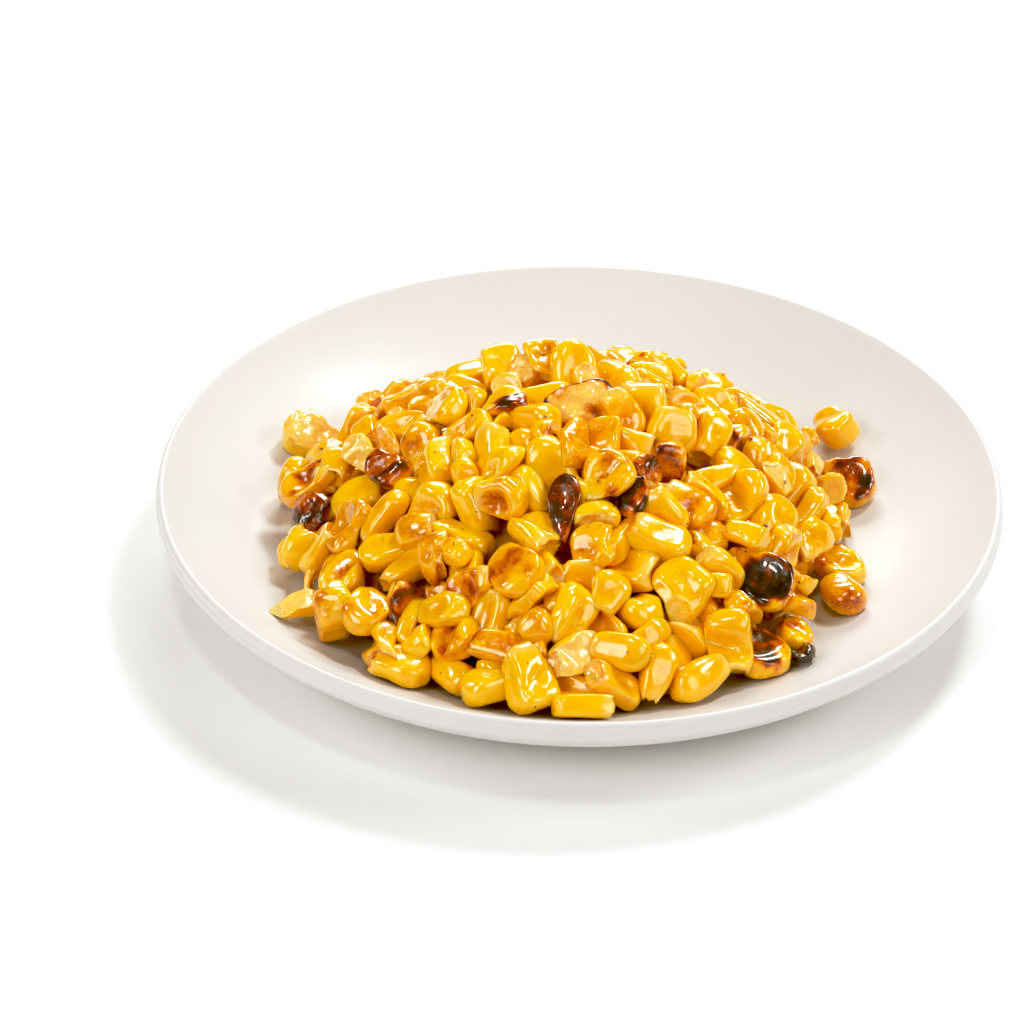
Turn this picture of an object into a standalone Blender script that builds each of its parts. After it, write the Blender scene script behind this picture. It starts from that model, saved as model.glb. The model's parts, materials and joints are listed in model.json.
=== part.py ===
"""Grilled sweetcorn kernels, cut off the cob, heaped on a round white coupe plate.

Run with:  blender --background --python part.py
Metres, +Z up. The origin is on the surface that the plate stands on, under its centre; -Y is the front.

The plate is one turned piece of stoneware with a foot ring. The heap is one closed solid out to its uneven
outline, lying on the plate. Four kernels that lie apart from the heap are solids of their own.
"""

import math
import random

import bmesh
import bpy
from mathutils import Matrix, Vector
from mathutils.geometry import interpolate_bezier

MM = 0.001
GAP = 0.3 * MM  # left between pieces that touch

# Plate: overall size, then the places along its section
PLATE_RADIUS = 82.5 * MM
FLOOR_TOP = 5.5 * MM  # height of the eating surface at the centre
FLOOR_RADIUS = 46 * MM  # flat out to here, then it curves up to the rim
WALL_RADIUS = 80.9 * MM  # it ends here, where the rim's narrow top edge begins
RISE = 14.12 * MM  # from the floor up to there
EDGE_RADIUS = 0.75 * MM  # round top edge of the rim
EDGE_TURN = math.radians(-25)  # its arc ends here, facing a little down
BEAD_RADIUS = 1.6 * MM  # soft bead under the edge, round the outside
BEAD_Z = 17.1 * MM
BEAD_TURN = math.radians(50)  # its arc starts here, so a shallow groove parts it from the edge
UNDERSIDE_START_SLOPE = math.radians(52)  # under the bead
UNDERSIDE_Z = 3.0 * MM  # underside beside the foot ring
UNDERSIDE_REACH = 0.33  # how far the underside keeps the slope under the bead, as a share of its breadth
UNDERSIDE_END = Vector((0.43, 0.035, 0))  # from the foot ring to its last control point, in the same shares
FOOT_OUTER = 47 * MM
FOOT_INNER = 42 * MM
FOOT_CHAMFER = 0.7 * MM
FOOT_RECESS = 1.8 * MM  # underside inside the foot ring
PLATE_STEPS = 72
CURVE_STEPS = 6
EDGE_STEPS = 4
BEAD_STEPS = 4

# Heap: a dome over an outline that is nearly round; a lobe has how often it goes round, its size and its turn
HEAP_CENTRE = Vector((-2 * MM, -4 * MM))
HEAP_RADIUS = 59.5 * MM
HEAP_LOBES = (
    (1, 0.6 * MM, -1.8),
    (2, 2.2 * MM, 2.9),
    (3, 1.2 * MM, 1.3),
    (7, 0.7 * MM, 2.2),
    (9, 0.8 * MM, -2.8),
)
HEAP_HEIGHT = 34.0 * MM  # above the plate's floor, before the lumps
HEAP_EDGE = 5.0 * MM  # one kernel high at the outline
HEAP_SHAPE = 1.8  # 1 would be a cone, 2 a paraboloid
HEAP_CELLS = 44  # grid cells along each side of its upper surface
HEAP_UNDER_RINGS = 3
HEAP_UNDER_STEP = 7.5 * MM  # between those rings, until they are on the plate's flat floor
OUTLINE_STEP = 4 * MM  # the most that lies between two points of the outline
OVERHANG = 1.2 * MM  # the widest ring lies this far outside the upper surface
WIDEST_AT = 2.8 * MM  # height of that ring over the plate
UNDERCUT = 1.8 * MM  # the outline's foot lies this far inside it

# Kernels: the lumps on the heap, and the loose ones
LUMP_SPACING = 7.4 * MM
LUMP_JITTER = 1.8 * MM
LUMP_LENGTH = 6.4 * MM  # half of it
LUMP_WIDTH = 4.6 * MM  # half of it
LUMP_HEIGHT = 3.6 * MM
STRAY_CLEARANCE = 0.8 * MM
STRAY_CUT_AT = -0.76  # a loose kernel is a unit block from -1 to 1 along its length, cut off flat here
STRAY_SQUARENESS = (0.8, 0.7, 0.75)  # powers along its length, width and thickness: 1 is round, 0 is a box
STRAY_THINNING = 0.3  # how much of its narrowing also shows in its thickness
STRAYS = (
    # node, x, y, heading of the crown in degrees, length, width, thickness, width left at the cut end
    ("kernel_left", -53.2, 23.0, 172, 13.0, 10.0, 6.8, 0.50),
    ("kernel_right", 51.8, 30.5, -35, 9.0, 8.4, 7.0, 0.80),
    ("kernel_right_seared", 53.2, 12.8, -28, 10.2, 9.6, 7.4, 0.85),
    ("kernel_right_amber", 50.0, -25.6, -80, 9.8, 7.4, 6.0, 0.60),
)

PLATE_WHITE = (0.86, 0.84, 0.82, 1)
CORN_YELLOW = (0.87, 0.50, 0.02, 1)
CORN_SEARED = (0.36, 0.10, 0.015, 1)
CORN_AMBER = (0.62, 0.26, 0.02, 1)


def clear_scene():
    for obj in list(bpy.data.objects):
        bpy.data.objects.remove(obj, do_unlink=True)


def material(name, colour, roughness):
    made = bpy.data.materials.new(name)
    made.use_nodes = True
    shader = made.node_tree.nodes["Principled BSDF"]
    shader.inputs["Base Color"].default_value = colour
    shader.inputs["Roughness"].default_value = roughness
    shader.inputs["Metallic"].default_value = 0
    return made


def add_object(name, bm, look):
    """Links a named object made from bm, its faces turned outwards and shaded smooth."""
    bmesh.ops.recalc_face_normals(bm, faces=bm.faces)
    mesh = bpy.data.meshes.new(name)
    bm.to_mesh(mesh)
    bm.free()
    mesh.shade_smooth()
    mesh.set_sharp_from_angle(angle=math.radians(50))
    mesh.materials.append(look)
    bpy.context.scene.collection.objects.link(bpy.data.objects.new(name, mesh))


# ---------------------------------------------------------------- plate


def plate_top(radius):
    """Height of the eating surface at this radius: flat, then a parabola up to the rim."""
    share = max(0.0, (radius - FLOOR_RADIUS) / (WALL_RADIUS - FLOOR_RADIUS))
    return FLOOR_TOP + RISE * share**2


def arc(centre_x, centre_z, radius, angles):
    return [(centre_x + radius * math.cos(angle), centre_z + radius * math.sin(angle)) for angle in angles]


def steps_between(start, end, steps):
    return [start + (end - start) * i / steps for i in range(steps + 1)]


def plate_section():
    """Half section of the plate as (radius, height), from the axis over the rim and back under to it."""
    points = [(0.0, FLOOR_TOP), (FLOOR_RADIUS * 0.5, FLOOR_TOP)]
    for radius in steps_between(FLOOR_RADIUS, WALL_RADIUS, CURVE_STEPS)[:-1]:
        points.append((radius, plate_top(radius)))

    wall_slope = math.atan(2 * RISE / (WALL_RADIUS - FLOOR_RADIUS))
    edge_x = WALL_RADIUS + EDGE_RADIUS * math.sin(wall_slope)
    edge_z = plate_top(WALL_RADIUS) - EDGE_RADIUS * math.cos(wall_slope)
    edge_angles = steps_between(math.pi / 2 + wall_slope, EDGE_TURN, EDGE_STEPS)
    points += arc(edge_x, edge_z, EDGE_RADIUS, edge_angles)

    bead_end = UNDERSIDE_START_SLOPE - math.pi / 2
    bead_angles = {*steps_between(BEAD_TURN, bead_end, BEAD_STEPS), 0.0}  # angle 0 is the rim's widest point
    points += arc(PLATE_RADIUS - BEAD_RADIUS, BEAD_Z, BEAD_RADIUS, sorted(bead_angles, reverse=True))

    under_bead = Vector((*points[-1], 0))
    by_foot = Vector((FOOT_OUTER, UNDERSIDE_Z, 0))
    breadth = under_bead.x - by_foot.x
    steep = Vector((-math.cos(UNDERSIDE_START_SLOPE), -math.sin(UNDERSIDE_START_SLOPE), 0))
    after_bead = under_bead + steep * UNDERSIDE_REACH * breadth
    before_foot = by_foot + UNDERSIDE_END * breadth
    curve = interpolate_bezier(under_bead, after_bead, before_foot, by_foot, CURVE_STEPS + 2)
    points += [(p.x, p.y) for p in curve[1:]]

    points += [
        (FOOT_OUTER, FOOT_CHAMFER),
        (FOOT_OUTER - FOOT_CHAMFER, 0.0),
        (FOOT_INNER + FOOT_CHAMFER, 0.0),
        (FOOT_INNER, FOOT_CHAMFER),
        (FOOT_INNER, FOOT_RECESS),
        (0.0, FOOT_RECESS),
    ]
    return points


def make_plate(look):
    bm = bmesh.new()
    corners = [bm.verts.new((radius, 0, z)) for radius, z in plate_section()]
    edges = [bm.edges.new(pair) for pair in zip(corners, corners[1:])]
    bmesh.ops.spin(
        bm,
        geom=corners + edges,
        cent=(0, 0, 0),
        axis=(0, 0, 1),
        angle=2 * math.pi,
        steps=PLATE_STEPS,
        use_merge=True,
    )
    bmesh.ops.remove_doubles(bm, verts=bm.verts, dist=1e-6)
    add_object("plate", bm, look)


# ---------------------------------------------------------------- heap


def free_outline(angle):
    """The heap's radius at this angle, before it makes room for the loose kernels."""
    return HEAP_RADIUS + sum(size * math.cos(count * angle - turn) for count, size, turn in HEAP_LOBES)


def distance_to_strays(angle):
    """How far the outline may reach at this angle from the heap's centre before it meets a loose kernel."""
    direction = Vector((math.cos(angle), math.sin(angle)))
    nearest = math.inf
    for _, x, y, _, length, *_ in STRAYS:
        to_stray = Vector((x, y)) * MM - HEAP_CENTRE
        keep_off = length / 2 * MM + STRAY_CLEARANCE
        along = to_stray.dot(direction)
        aside = abs(to_stray.cross(direction))
        if along > 0 and aside < keep_off + OUTLINE_STEP:
            nearest = min(nearest, along - math.sqrt(max(0, keep_off**2 - aside**2)))
    return nearest


def disc_from_square(u, v):
    """Maps the square from -1 to 1 onto the unit disc, with cells of nearly even size."""
    return Vector((u * math.sqrt(1 - v * v / 2), v * math.sqrt(1 - u * u / 2)))


def lumps():
    """Kernel-sized lumps in an evenly spaced spiral, each (place, heading), jittered the same way each run."""
    rng = random.Random(7)
    golden_angle = math.pi * (3 - math.sqrt(5))
    found = []
    count = int((HEAP_RADIUS / LUMP_SPACING) ** 2 * math.pi)
    for i in range(count):
        reach = HEAP_RADIUS * math.sqrt((i + 0.5) / count)
        angle = golden_angle * i
        jitter = Vector((rng.uniform(-1, 1), rng.uniform(-1, 1))) * LUMP_JITTER
        place = HEAP_CENTRE + Vector((math.cos(angle), math.sin(angle))) * reach + jitter
        found.append((place, rng.uniform(0, math.pi)))
    return found


def lump_height(place, all_lumps):
    """Height of the tallest lump over this place: the cap of an ellipsoid."""
    tallest = 0.0
    for centre, heading in all_lumps:
        offset = place - centre
        if offset.length > LUMP_LENGTH:
            continue
        along = offset.x * math.cos(heading) + offset.y * math.sin(heading)
        across = -offset.x * math.sin(heading) + offset.y * math.cos(heading)
        share = 1 - (along / LUMP_LENGTH) ** 2 - (across / LUMP_WIDTH) ** 2
        if share > 0:
            tallest = max(tallest, LUMP_HEIGHT * math.sqrt(share))
    return tallest


def heap_top(place, all_lumps):
    """Height of the heap's upper side at this place."""
    offset = place - HEAP_CENTRE
    share = min(1, offset.length / free_outline(math.atan2(offset.y, offset.x)))
    ground = plate_top(place.length) * share**2 + FLOOR_TOP * (1 - share**2)
    dome = HEAP_EDGE + (HEAP_HEIGHT - HEAP_EDGE) * (1 - share**HEAP_SHAPE)
    return ground + dome + lump_height(place, all_lumps)


def extrude_inwards(bm, edges, step_in, height_over_plate):
    """Extrudes the heap's rim towards its centre by step_in, to this height over the plate."""
    made = bmesh.ops.extrude_edge_only(bm, edges=edges)["geom"]
    for v in (g for g in made if isinstance(g, bmesh.types.BMVert)):
        offset = v.co.xy - HEAP_CENTRE
        place = HEAP_CENTRE + offset * max(0, 1 - step_in / offset.length)
        v.co = (*place, plate_top(place.length) + height_over_plate)
    return [g for g in made if isinstance(g, bmesh.types.BMEdge)]


def make_heap(look):
    all_lumps = lumps()
    bm = bmesh.new()
    bmesh.ops.create_grid(bm, x_segments=HEAP_CELLS, y_segments=HEAP_CELLS, size=1)
    for v in bm.verts:
        on_disc = disc_from_square(v.co.x, v.co.y)
        angle = math.atan2(on_disc.y, on_disc.x)
        radius = min(free_outline(angle), distance_to_strays(angle))
        place = HEAP_CENTRE + on_disc * (radius - OVERHANG)
        v.co = (*place, heap_top(place, all_lumps))

    rim = [e for e in bm.edges if e.is_boundary]
    rim = extrude_inwards(bm, rim, -OVERHANG, WIDEST_AT)
    rim = extrude_inwards(bm, rim, UNDERCUT, GAP)
    for _ in range(HEAP_UNDER_RINGS):
        rim = extrude_inwards(bm, rim, HEAP_UNDER_STEP, GAP)
    bmesh.ops.contextual_create(bm, geom=rim)
    bmesh.ops.triangulate(bm, faces=bm.faces)
    add_object("corn_heap", bm, look)


# ---------------------------------------------------------------- loose kernels


def squared(value, power):
    """Pushes a coordinate of a unit sphere outwards, so that the sphere becomes a rounded block."""
    return math.copysign(abs(value) ** power, value)


def shape_kernel(bm, length, width, thickness, taper):
    """Turns a unit sphere into a kernel lying flat, its crown towards +X, that narrows to a flat cut end."""
    for v in bm.verts:
        x, y, z = (squared(value, power) for value, power in zip(v.co.normalized(), STRAY_SQUARENESS))
        x = max(x, STRAY_CUT_AT)
        narrow = taper + (1 - taper) * (x - STRAY_CUT_AT) / (1 - STRAY_CUT_AT)
        thin = 1 - STRAY_THINNING * (1 - narrow)
        v.co = (x * length / (1 - STRAY_CUT_AT), y * narrow * width / 2, z * thin * thickness / 2)


def rest_on_plate(bm, x, y, heading):
    """Turns the kernel to its heading, leans it on the plate's slope and lifts it clear by the gap."""
    place = Vector((x, y, 0))
    radius = place.length
    step = 1 * MM
    slope = math.atan2(plate_top(radius + step) - plate_top(radius - step), 2 * step)
    lean_axis = Vector((y, -x, 0)).normalized()
    lean = Matrix.Rotation(-slope, 4, -lean_axis) @ Matrix.Rotation(heading, 4, "Z")
    lean.translation = place
    bm.transform(lean)
    lift = max(plate_top(Vector(v.co.xy).length) - v.co.z for v in bm.verts) + GAP
    bmesh.ops.translate(bm, verts=bm.verts, vec=(0, 0, lift))


def make_stray(name, x, y, heading, length, width, thickness, taper, look):
    bm = bmesh.new()
    bmesh.ops.create_icosphere(bm, subdivisions=2, radius=1)
    shape_kernel(bm, length * MM, width * MM, thickness * MM, taper)
    rest_on_plate(bm, x * MM, y * MM, math.radians(heading))
    add_object(name, bm, look)


def main():
    clear_scene()
    make_plate(material("plate_glaze", PLATE_WHITE, 0.35))
    make_heap(material("corn", CORN_YELLOW, 0.25))
    looks = {
        "kernel_left": CORN_YELLOW,
        "kernel_right": CORN_YELLOW,
        "kernel_right_seared": CORN_SEARED,
        "kernel_right_amber": CORN_AMBER,
    }
    for name, *sizes in STRAYS:
        make_stray(name, *sizes, material(name, looks[name], 0.25))


main()
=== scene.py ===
"""Looks of a plate of grilled corn kernels: a glazed coupe plate, and separate kernels over a plain core.

Shapes are worked out in millimetres and become metres when their meshes are made. +Z is up, -Y is the front.

A kernel's own axes: +X runs from its cut end to its crown, Y is its breadth and +Z is its broad upper side.
Its place on the heap is where its middle lies over the plate. Its heading is where the crown points in plan
(0 is to the right, 90 is to the back), its pitch lifts the crown and its roll turns it about its length.
"""

import json
import math

import bpy
import numpy as np
from mathutils import Matrix, Vector
from mathutils.bvhtree import BVHTree


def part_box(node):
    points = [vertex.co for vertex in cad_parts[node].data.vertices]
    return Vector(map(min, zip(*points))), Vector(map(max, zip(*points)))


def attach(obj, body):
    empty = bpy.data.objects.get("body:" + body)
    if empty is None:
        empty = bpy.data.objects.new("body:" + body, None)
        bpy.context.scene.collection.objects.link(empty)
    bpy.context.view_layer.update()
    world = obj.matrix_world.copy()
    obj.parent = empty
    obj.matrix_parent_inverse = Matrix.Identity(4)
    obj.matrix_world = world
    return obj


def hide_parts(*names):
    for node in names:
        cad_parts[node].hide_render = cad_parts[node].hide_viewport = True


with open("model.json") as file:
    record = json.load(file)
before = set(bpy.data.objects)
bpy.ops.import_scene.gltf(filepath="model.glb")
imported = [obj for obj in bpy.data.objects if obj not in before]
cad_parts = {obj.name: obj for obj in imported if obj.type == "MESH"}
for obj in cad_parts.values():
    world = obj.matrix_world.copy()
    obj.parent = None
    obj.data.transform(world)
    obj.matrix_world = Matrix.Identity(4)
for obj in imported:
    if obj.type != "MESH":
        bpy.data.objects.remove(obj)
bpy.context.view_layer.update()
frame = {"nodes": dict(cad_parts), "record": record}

MM = 0.001
SEED = 20

# ---------------------------------------------------------------- kernel shapes

WAVES = 7  # random waves that make a kernel uneven
JAG = 1.4  # limit of the unevenness of a cut end's rim
DRAW_LIMIT = 1.6  # a drawn size lies within this many spreads of its mean
LUMPS = 8.0  # wavelength of the large lumps, in mm
JAG_TURNS = (2, 3, 5, 8)  # waves around the cut end's rim
WORN_LENGTH = 1.1  # over which the rounding of the cut end's rim fades, in mm
RIM_WIDTH = 0.8  # of the edge mark at the cut end, in mm
WRINKLED_ALL_OVER = 0.35  # share of the wrinkles' depth outside the dent

# Each size of a form is a mean and a spread. Lengths and depths are in mm, turns and tilts in radians. The
# others have no unit.
FORM = {
    "length": (10.4, 0.8),
    "breadth": (9.0, 0.6),
    "thickness": (5.4, 0.4),
    "taper": (0.72, 0.08),  # breadth left at the cut end
    "square": (3.0, 0.3),  # 2 is an ellipse in section, more is a rounded box
    "crown": (0.44, 0.04),  # length of the rounded crown, as a share of the breadth
    "crown_square": (0.62, 0.08),  # less is boxier
    "uneven": (0.20, 0.06),  # size of the large lumps
    "pressed": (0.5, 0.15),  # depth of the flats where it grew against its neighbours
    "bend": (0.3, 0.4),
    "twist": (0.0, 0.10),
    "dent": (0.9, 0.5),  # depth of the valley in the broad side
    "dent_length": (3.2, 0.6),
    "dent_breadth": (1.9, 0.4),
    "dent_turn": (0.7, 0.0),  # spread of the valley's direction
    "under_dent": (0.4, 0.4),  # depth of the valley in the other broad side
    "wrinkle": (0.03, 0.03),
    "torn": (0.4, 0.2),  # unevenness of the cut end's rim
    "hollow": (1.0, 0.4),  # how far the cut end's flesh lies back
    "worn": (0.22, 0.08),  # rounding of the cut end's rim
    "cut_tilt": (0.0, 0.22),
    "top_cut": (0.0, 0.0),  # depth of a knife cut along the upper broad side
    "facets": (0.0, 0.0),  # how many small cuts in any direction
    "facet_depth": (1.2, 0.3),
    "ring": (0.0, 0.0),  # depth of the ring mark on the crown
}
FORMS = {
    "plump": dict(thickness=(6.2, 0.4), square=(2.6, 0.2), dent=(0.35, 0.25), pressed=(0.35, 0.1)),
    "tooth": dict(breadth=(9.4, 0.6), thickness=(5.2, 0.4), taper=(0.8, 0.07), square=(2.9, 0.3)),
    "log": dict(length=(11.0, 0.9), breadth=(6.2, 0.5), thickness=(5.2, 0.4), square=(3.0, 0.3),
                dent=(0.2, 0.2), crown=(0.55, 0.05)),
    "valley": dict(thickness=(5.9, 0.4), dent=(2.4, 0.4), dent_length=(4.6, 0.6), dent_breadth=(1.6, 0.3),
                   torn=(0.5, 0.2), uneven=(0.3, 0.08)),
    "cup": dict(length=(9.6, 0.8), breadth=(9.0, 0.6), thickness=(6.4, 0.4), dent=(2.3, 0.5),
                dent_length=(3.3, 0.5), dent_breadth=(2.5, 0.4), uneven=(0.45, 0.1), wrinkle=(0.16, 0.05)),
    "sliced": dict(thickness=(6.0, 0.5), top_cut=(1.9, 0.5), square=(2.9, 0.3), dent=(0.3, 0.2),
                   torn=(0.5, 0.2)),
    "bowl": dict(breadth=(10.0, 0.6), thickness=(6.2, 0.4), dent=(1.8, 0.2), dent_length=(5.2, 0.2),
                 dent_breadth=(4.6, 0.2), dent_turn=(0.0, 0.0), pressed=(0.2, 0.1), wrinkle=(0.20, 0.04),
                 crown=(0.5, 0.03)),
    "halved": dict(top_cut=(4.2, 0.2), square=(2.6, 0.1), dent=(0.2, 0.1), under_dent=(0.2, 0.1)),
    "folded": dict(length=(10.6, 1.0), breadth=(8.2, 0.7), thickness=(5.2, 0.5), bend=(1.5, 0.5),
                   dent=(2.0, 0.5), dent_length=(5.0, 0.8), dent_breadth=(1.3, 0.3), under_dent=(1.0, 0.4),
                   uneven=(0.5, 0.1), torn=(0.7, 0.2), wrinkle=(0.07, 0.04), twist=(0.0, 0.35)),
    "crumpled": dict(length=(9.0, 1.2), breadth=(7.8, 0.9), thickness=(4.9, 0.7), uneven=(0.75, 0.12),
                     dent=(1.5, 0.6), under_dent=(1.1, 0.5), torn=(0.8, 0.3), hollow=(1.2, 0.4),
                     facets=(1.2, 0.6), facet_depth=(0.9, 0.3), wrinkle=(0.10, 0.05), twist=(0.0, 0.4)),
    "shrivelled": dict(square=(2.4, 0.2), pressed=(0.2, 0.1), length=(9.2, 0.8), breadth=(8.2, 0.7),
                       thickness=(4.9, 0.5), uneven=(0.55, 0.1), dent=(1.3, 0.4), wrinkle=(0.30, 0.06),
                       torn=(0.5, 0.2)),
    "leaf": dict(square=(2.0, 0.05), pressed=(0.05, 0.02), crown=(0.95, 0.02), crown_square=(0.8, 0.02),
                 taper=(0.3, 0.03), uneven=(0.35, 0.05), bend=(0.5, 0.2), dent=(0.9, 0.2), torn=(0.4, 0.1),
                 wrinkle=(0.22, 0.03), hollow=(0.1, 0.05)),
    "shard": dict(square=(2.2, 0.1), pressed=(0.1, 0.05), length=(10.0, 1.0), breadth=(6.8, 0.8),
                  thickness=(2.4, 0.3), uneven=(0.5, 0.1), bend=(0.8, 0.4), dent=(0.3, 0.2), torn=(1.2, 0.3),
                  wrinkle=(0.12, 0.04), taper=(0.6, 0.1)),
    "block": dict(square=(3.5, 0.3), crown=(0.34, 0.03), crown_square=(0.45, 0.05), taper=(0.86, 0.05),
                  torn=(0.15, 0.08), uneven=(0.35, 0.08)),
    "ringed": dict(thickness=(5.8, 0.4), dent=(0.5, 0.2), ring=(0.45, 0.08)),
    "hull": dict(pressed=(0.1, 0.05), length=(9.5, 1.0), breadth=(7.5, 0.9), thickness=(2.6, 0.3),
                 square=(3.2, 0.4), uneven=(0.8, 0.15), bend=(1.6, 0.5), dent=(0.8, 0.4),
                 dent_length=(3.0, 0.5), torn=(0.8, 0.3), wrinkle=(0.16, 0.05), twist=(0.0, 0.5),
                 taper=(0.8, 0.1)),
    "slab": dict(breadth=(7.0, 0.5), thickness=(3.8, 0.3), square=(4.0, 0.4), crown=(0.3, 0.04),
                 taper=(0.85, 0.06), dent=(0.3, 0.2), torn=(0.3, 0.1)),
    "chip": dict(length=(6.0, 0.9), breadth=(5.4, 0.8), thickness=(3.6, 0.6), facets=(1.6, 0.6),
                 facet_depth=(0.7, 0.2), uneven=(0.4, 0.1), torn=(0.6, 0.2), dent=(0.3, 0.3)),
}


def ring_faces(rings, segments):
    """Quads between rings of vertices, and fans at both ends around the two vertices after the rings."""
    i, j = np.meshgrid(np.arange(rings - 1), np.arange(segments), indexing="ij")
    k = (j + 1) % segments
    quads = np.stack([i, i + 1, i + 1, i], -1) * segments + np.stack([j, j, k, k], -1)
    j, k = j[0], k[0]
    last = (rings - 1) * segments
    middle = np.full(segments, rings * segments)
    fans = [np.stack([middle, j, k], -1), np.stack([middle + 1, last + k, last + j], -1)]
    return quads.reshape(-1, 4), np.concatenate(fans)


class Grid:
    """Rings of vertices from a kernel's cut end to its crown, and the faces between them.

    Each ring has its share of the way to the crown's start, of the crown's arc and of the breadth.
    """

    def __init__(self, segments, cap, body_rings, crown_rings):
        rings = [(0.0, 0.0, share) for share in cap]
        rings += [(i / body_rings, 0.0, 1.0) for i in range(body_rings + 1)]
        rings += [(1.0, (i + 1) / (crown_rings + 0.6), 1.0) for i in range(crown_rings)]
        self.segments = segments
        self.body, self.crown, self.inside = (column[:, None] for column in np.array(rings).T)
        quads, fans = ring_faces(len(rings), segments)
        self.quads, self.fans = quads[:, [0, 3, 2, 1]], fans[:, [0, 2, 1]]  # turned to face outward


FINE = Grid(40, (0.4, 0.75, 0.94), 13, 9)
COARSE = Grid(16, (0.6, 0.93), 5, 4)  # for what is hardly seen


def signed_power(value, power):
    return np.sign(value) * np.abs(value) ** power


def smooth_step(low, high, value):
    share = np.clip((value - low) / (high - low), 0, 1)
    return share * share * (3 - 2 * share)


def uneven_field(points, rng, wavelength):
    """A smooth random field around 0 over these points: waves of about this length in random directions."""
    directions = rng.normal(size=(WAVES, 3))
    directions /= np.linalg.norm(directions, axis=1, keepdims=True)
    lengths = wavelength * rng.uniform(0.7, 1.5, WAVES)
    phases = rng.uniform(0, 2 * np.pi, WAVES)
    waves = np.sin(points @ (directions * (2 * np.pi / lengths)[:, None]).T + phases)
    return waves.sum(-1) / math.sqrt(WAVES)


def draw_sizes(form, rng, **given):
    """This kernel's own sizes: drawn around its form's, except those that are given."""
    means = {**FORM, **FORMS[form]}
    sizes = {}
    for key, (mean, spread) in means.items():
        sizes[key] = mean + spread * float(np.clip(rng.normal(), -DRAW_LIMIT, DRAW_LIMIT))
    return {**sizes, **given}


def kernel_shape(s, grid, rng):
    """The kernel's vertices in mm around its middle, and the marks on them.

    The marks run from 0 to 1: flesh on cut faces, edge around them, dent in the upper valley, and along from
    the cut end to the crown.
    """
    body, crown, inside = grid.body, grid.crown, grid.inside
    angle = np.arange(grid.segments) * 2 * np.pi / grid.segments
    section_y = signed_power(np.cos(angle), 2 / s["square"])
    section_z = signed_power(np.sin(angle), 2 / s["square"])

    crown_length = s["crown"] * s["breadth"]
    crown_start = s["length"] / 2 - crown_length
    arc = crown * np.pi / 2
    broad = (s["taper"] + (1 - s["taper"]) * body**0.8) * np.cos(arc) ** 0.85
    thick = (0.5 + 0.5 * s["taper"] + (0.5 - 0.5 * s["taper"]) * body) * np.cos(arc) ** s["crown_square"]
    worn = 1 - s["worn"] * np.exp(-body * s["length"] / WORN_LENGTH)
    broad, thick = broad * worn, thick * worn
    y = s["breadth"] / 2 * broad * inside * section_y
    z = s["thickness"] / 2 * thick * inside * section_z

    rim_jag = np.zeros_like(angle)
    for turns in JAG_TURNS:
        rim_jag += rng.normal() * np.cos(turns * angle + rng.uniform(0, 2 * np.pi)) / turns**0.6
    rim_jag = np.clip(rim_jag, -JAG, JAG)
    cut_x = -s["length"] / 2 + s["cut_tilt"] * y + rng.normal(0, 0.15) * z
    cut_x = cut_x + s["torn"] * 0.5 * rim_jag * smooth_step(0.6, 1.0, inside)
    cut_x = cut_x + s["hollow"] * (1 - inside**2)
    x = cut_x * (1 - body) + crown_start * body + crown_length * np.sin(arc)
    rings = np.stack([x + 0 * y, y, z], -1)
    ends = np.array([[cut_x[0].mean() + s["hollow"] * 0.2, 0, 0], [s["length"] / 2, 0, 0]])
    points = np.concatenate([rings.reshape(-1, 3), ends])
    flesh = np.concatenate([np.repeat((inside[:, 0] < 1) * 1.0, grid.segments), [1.0, 0.0]])

    points = press_flats(points, s, rng)
    points, dent = press_dents(points, s, rng)
    outward = points / (np.linalg.norm(points, axis=1, keepdims=True) + 1e-6)
    points = points + outward * (s["uneven"] * uneven_field(points, rng, LUMPS))[:, None]
    wrinkle = s["wrinkle"] * wrinkles(points, rng) * (WRINKLED_ALL_OVER + dent)
    points = points + outward * wrinkle[:, None]
    points, cut, edge = slice_facets(points, s, rng)
    flesh = np.maximum(flesh, cut)

    turn = s["twist"] * points[:, 0] / s["length"]
    y, z = points[:, 1].copy(), points[:, 2].copy()
    points[:, 1] = y * np.cos(turn) - z * np.sin(turn)
    points[:, 2] = y * np.sin(turn) + z * np.cos(turn) - s["bend"] * (points[:, 0] / s["length"] * 2) ** 2
    along = (points[:, 0] - points[:, 0].min()) / np.ptp(points[:, 0])
    middle = (points.min(0) + points.max(0)) / 2
    rim = np.exp(-((body * s["length"] / RIM_WIDTH) ** 2)) * smooth_step(0.7, 1.0, inside)
    edge[:-2] = np.maximum(edge[:-2], np.repeat(rim[:, 0], grid.segments))
    return points - middle, {"flesh": flesh, "dent": dent, "along": along, "edge": edge}


# Directions of the flats and how deep they are, as a share: two sides, two broad faces, and two on the crown.
FLATS = (
    ((-0.12, 1, 0), 1.0), ((-0.12, -1, 0), 1.0), ((0.1, 0.15, 1), 0.35),
    ((0.1, -0.1, -1), 0.35), ((1, 0.55, 0.1), 0.6), ((1, -0.5, 0.25), 0.6),
)
FLAT_SPREAD = 0.22  # of the directions
FLAT_ROUNDING = 0.35  # of their edges, in mm
FLATTENED = 0.9  # share of what lies beyond that is brought back


def press_flats(points, s, rng):
    """Flats with rounded edges: what lies beyond each plane is brought back to just over it."""
    for direction, depth in FLATS:
        normal = np.array(direction) + rng.normal(0, FLAT_SPREAD, 3)
        normal /= np.linalg.norm(normal)
        reach = points @ normal
        beyond = reach - reach.max() + depth * s["pressed"] * rng.uniform(0.5, 1.5)
        back = FLAT_ROUNDING * np.log1p(np.exp(np.clip(beyond / FLAT_ROUNDING, -30, 30)))
        points = points - FLATTENED * back[:, None] * normal
    return points


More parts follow.
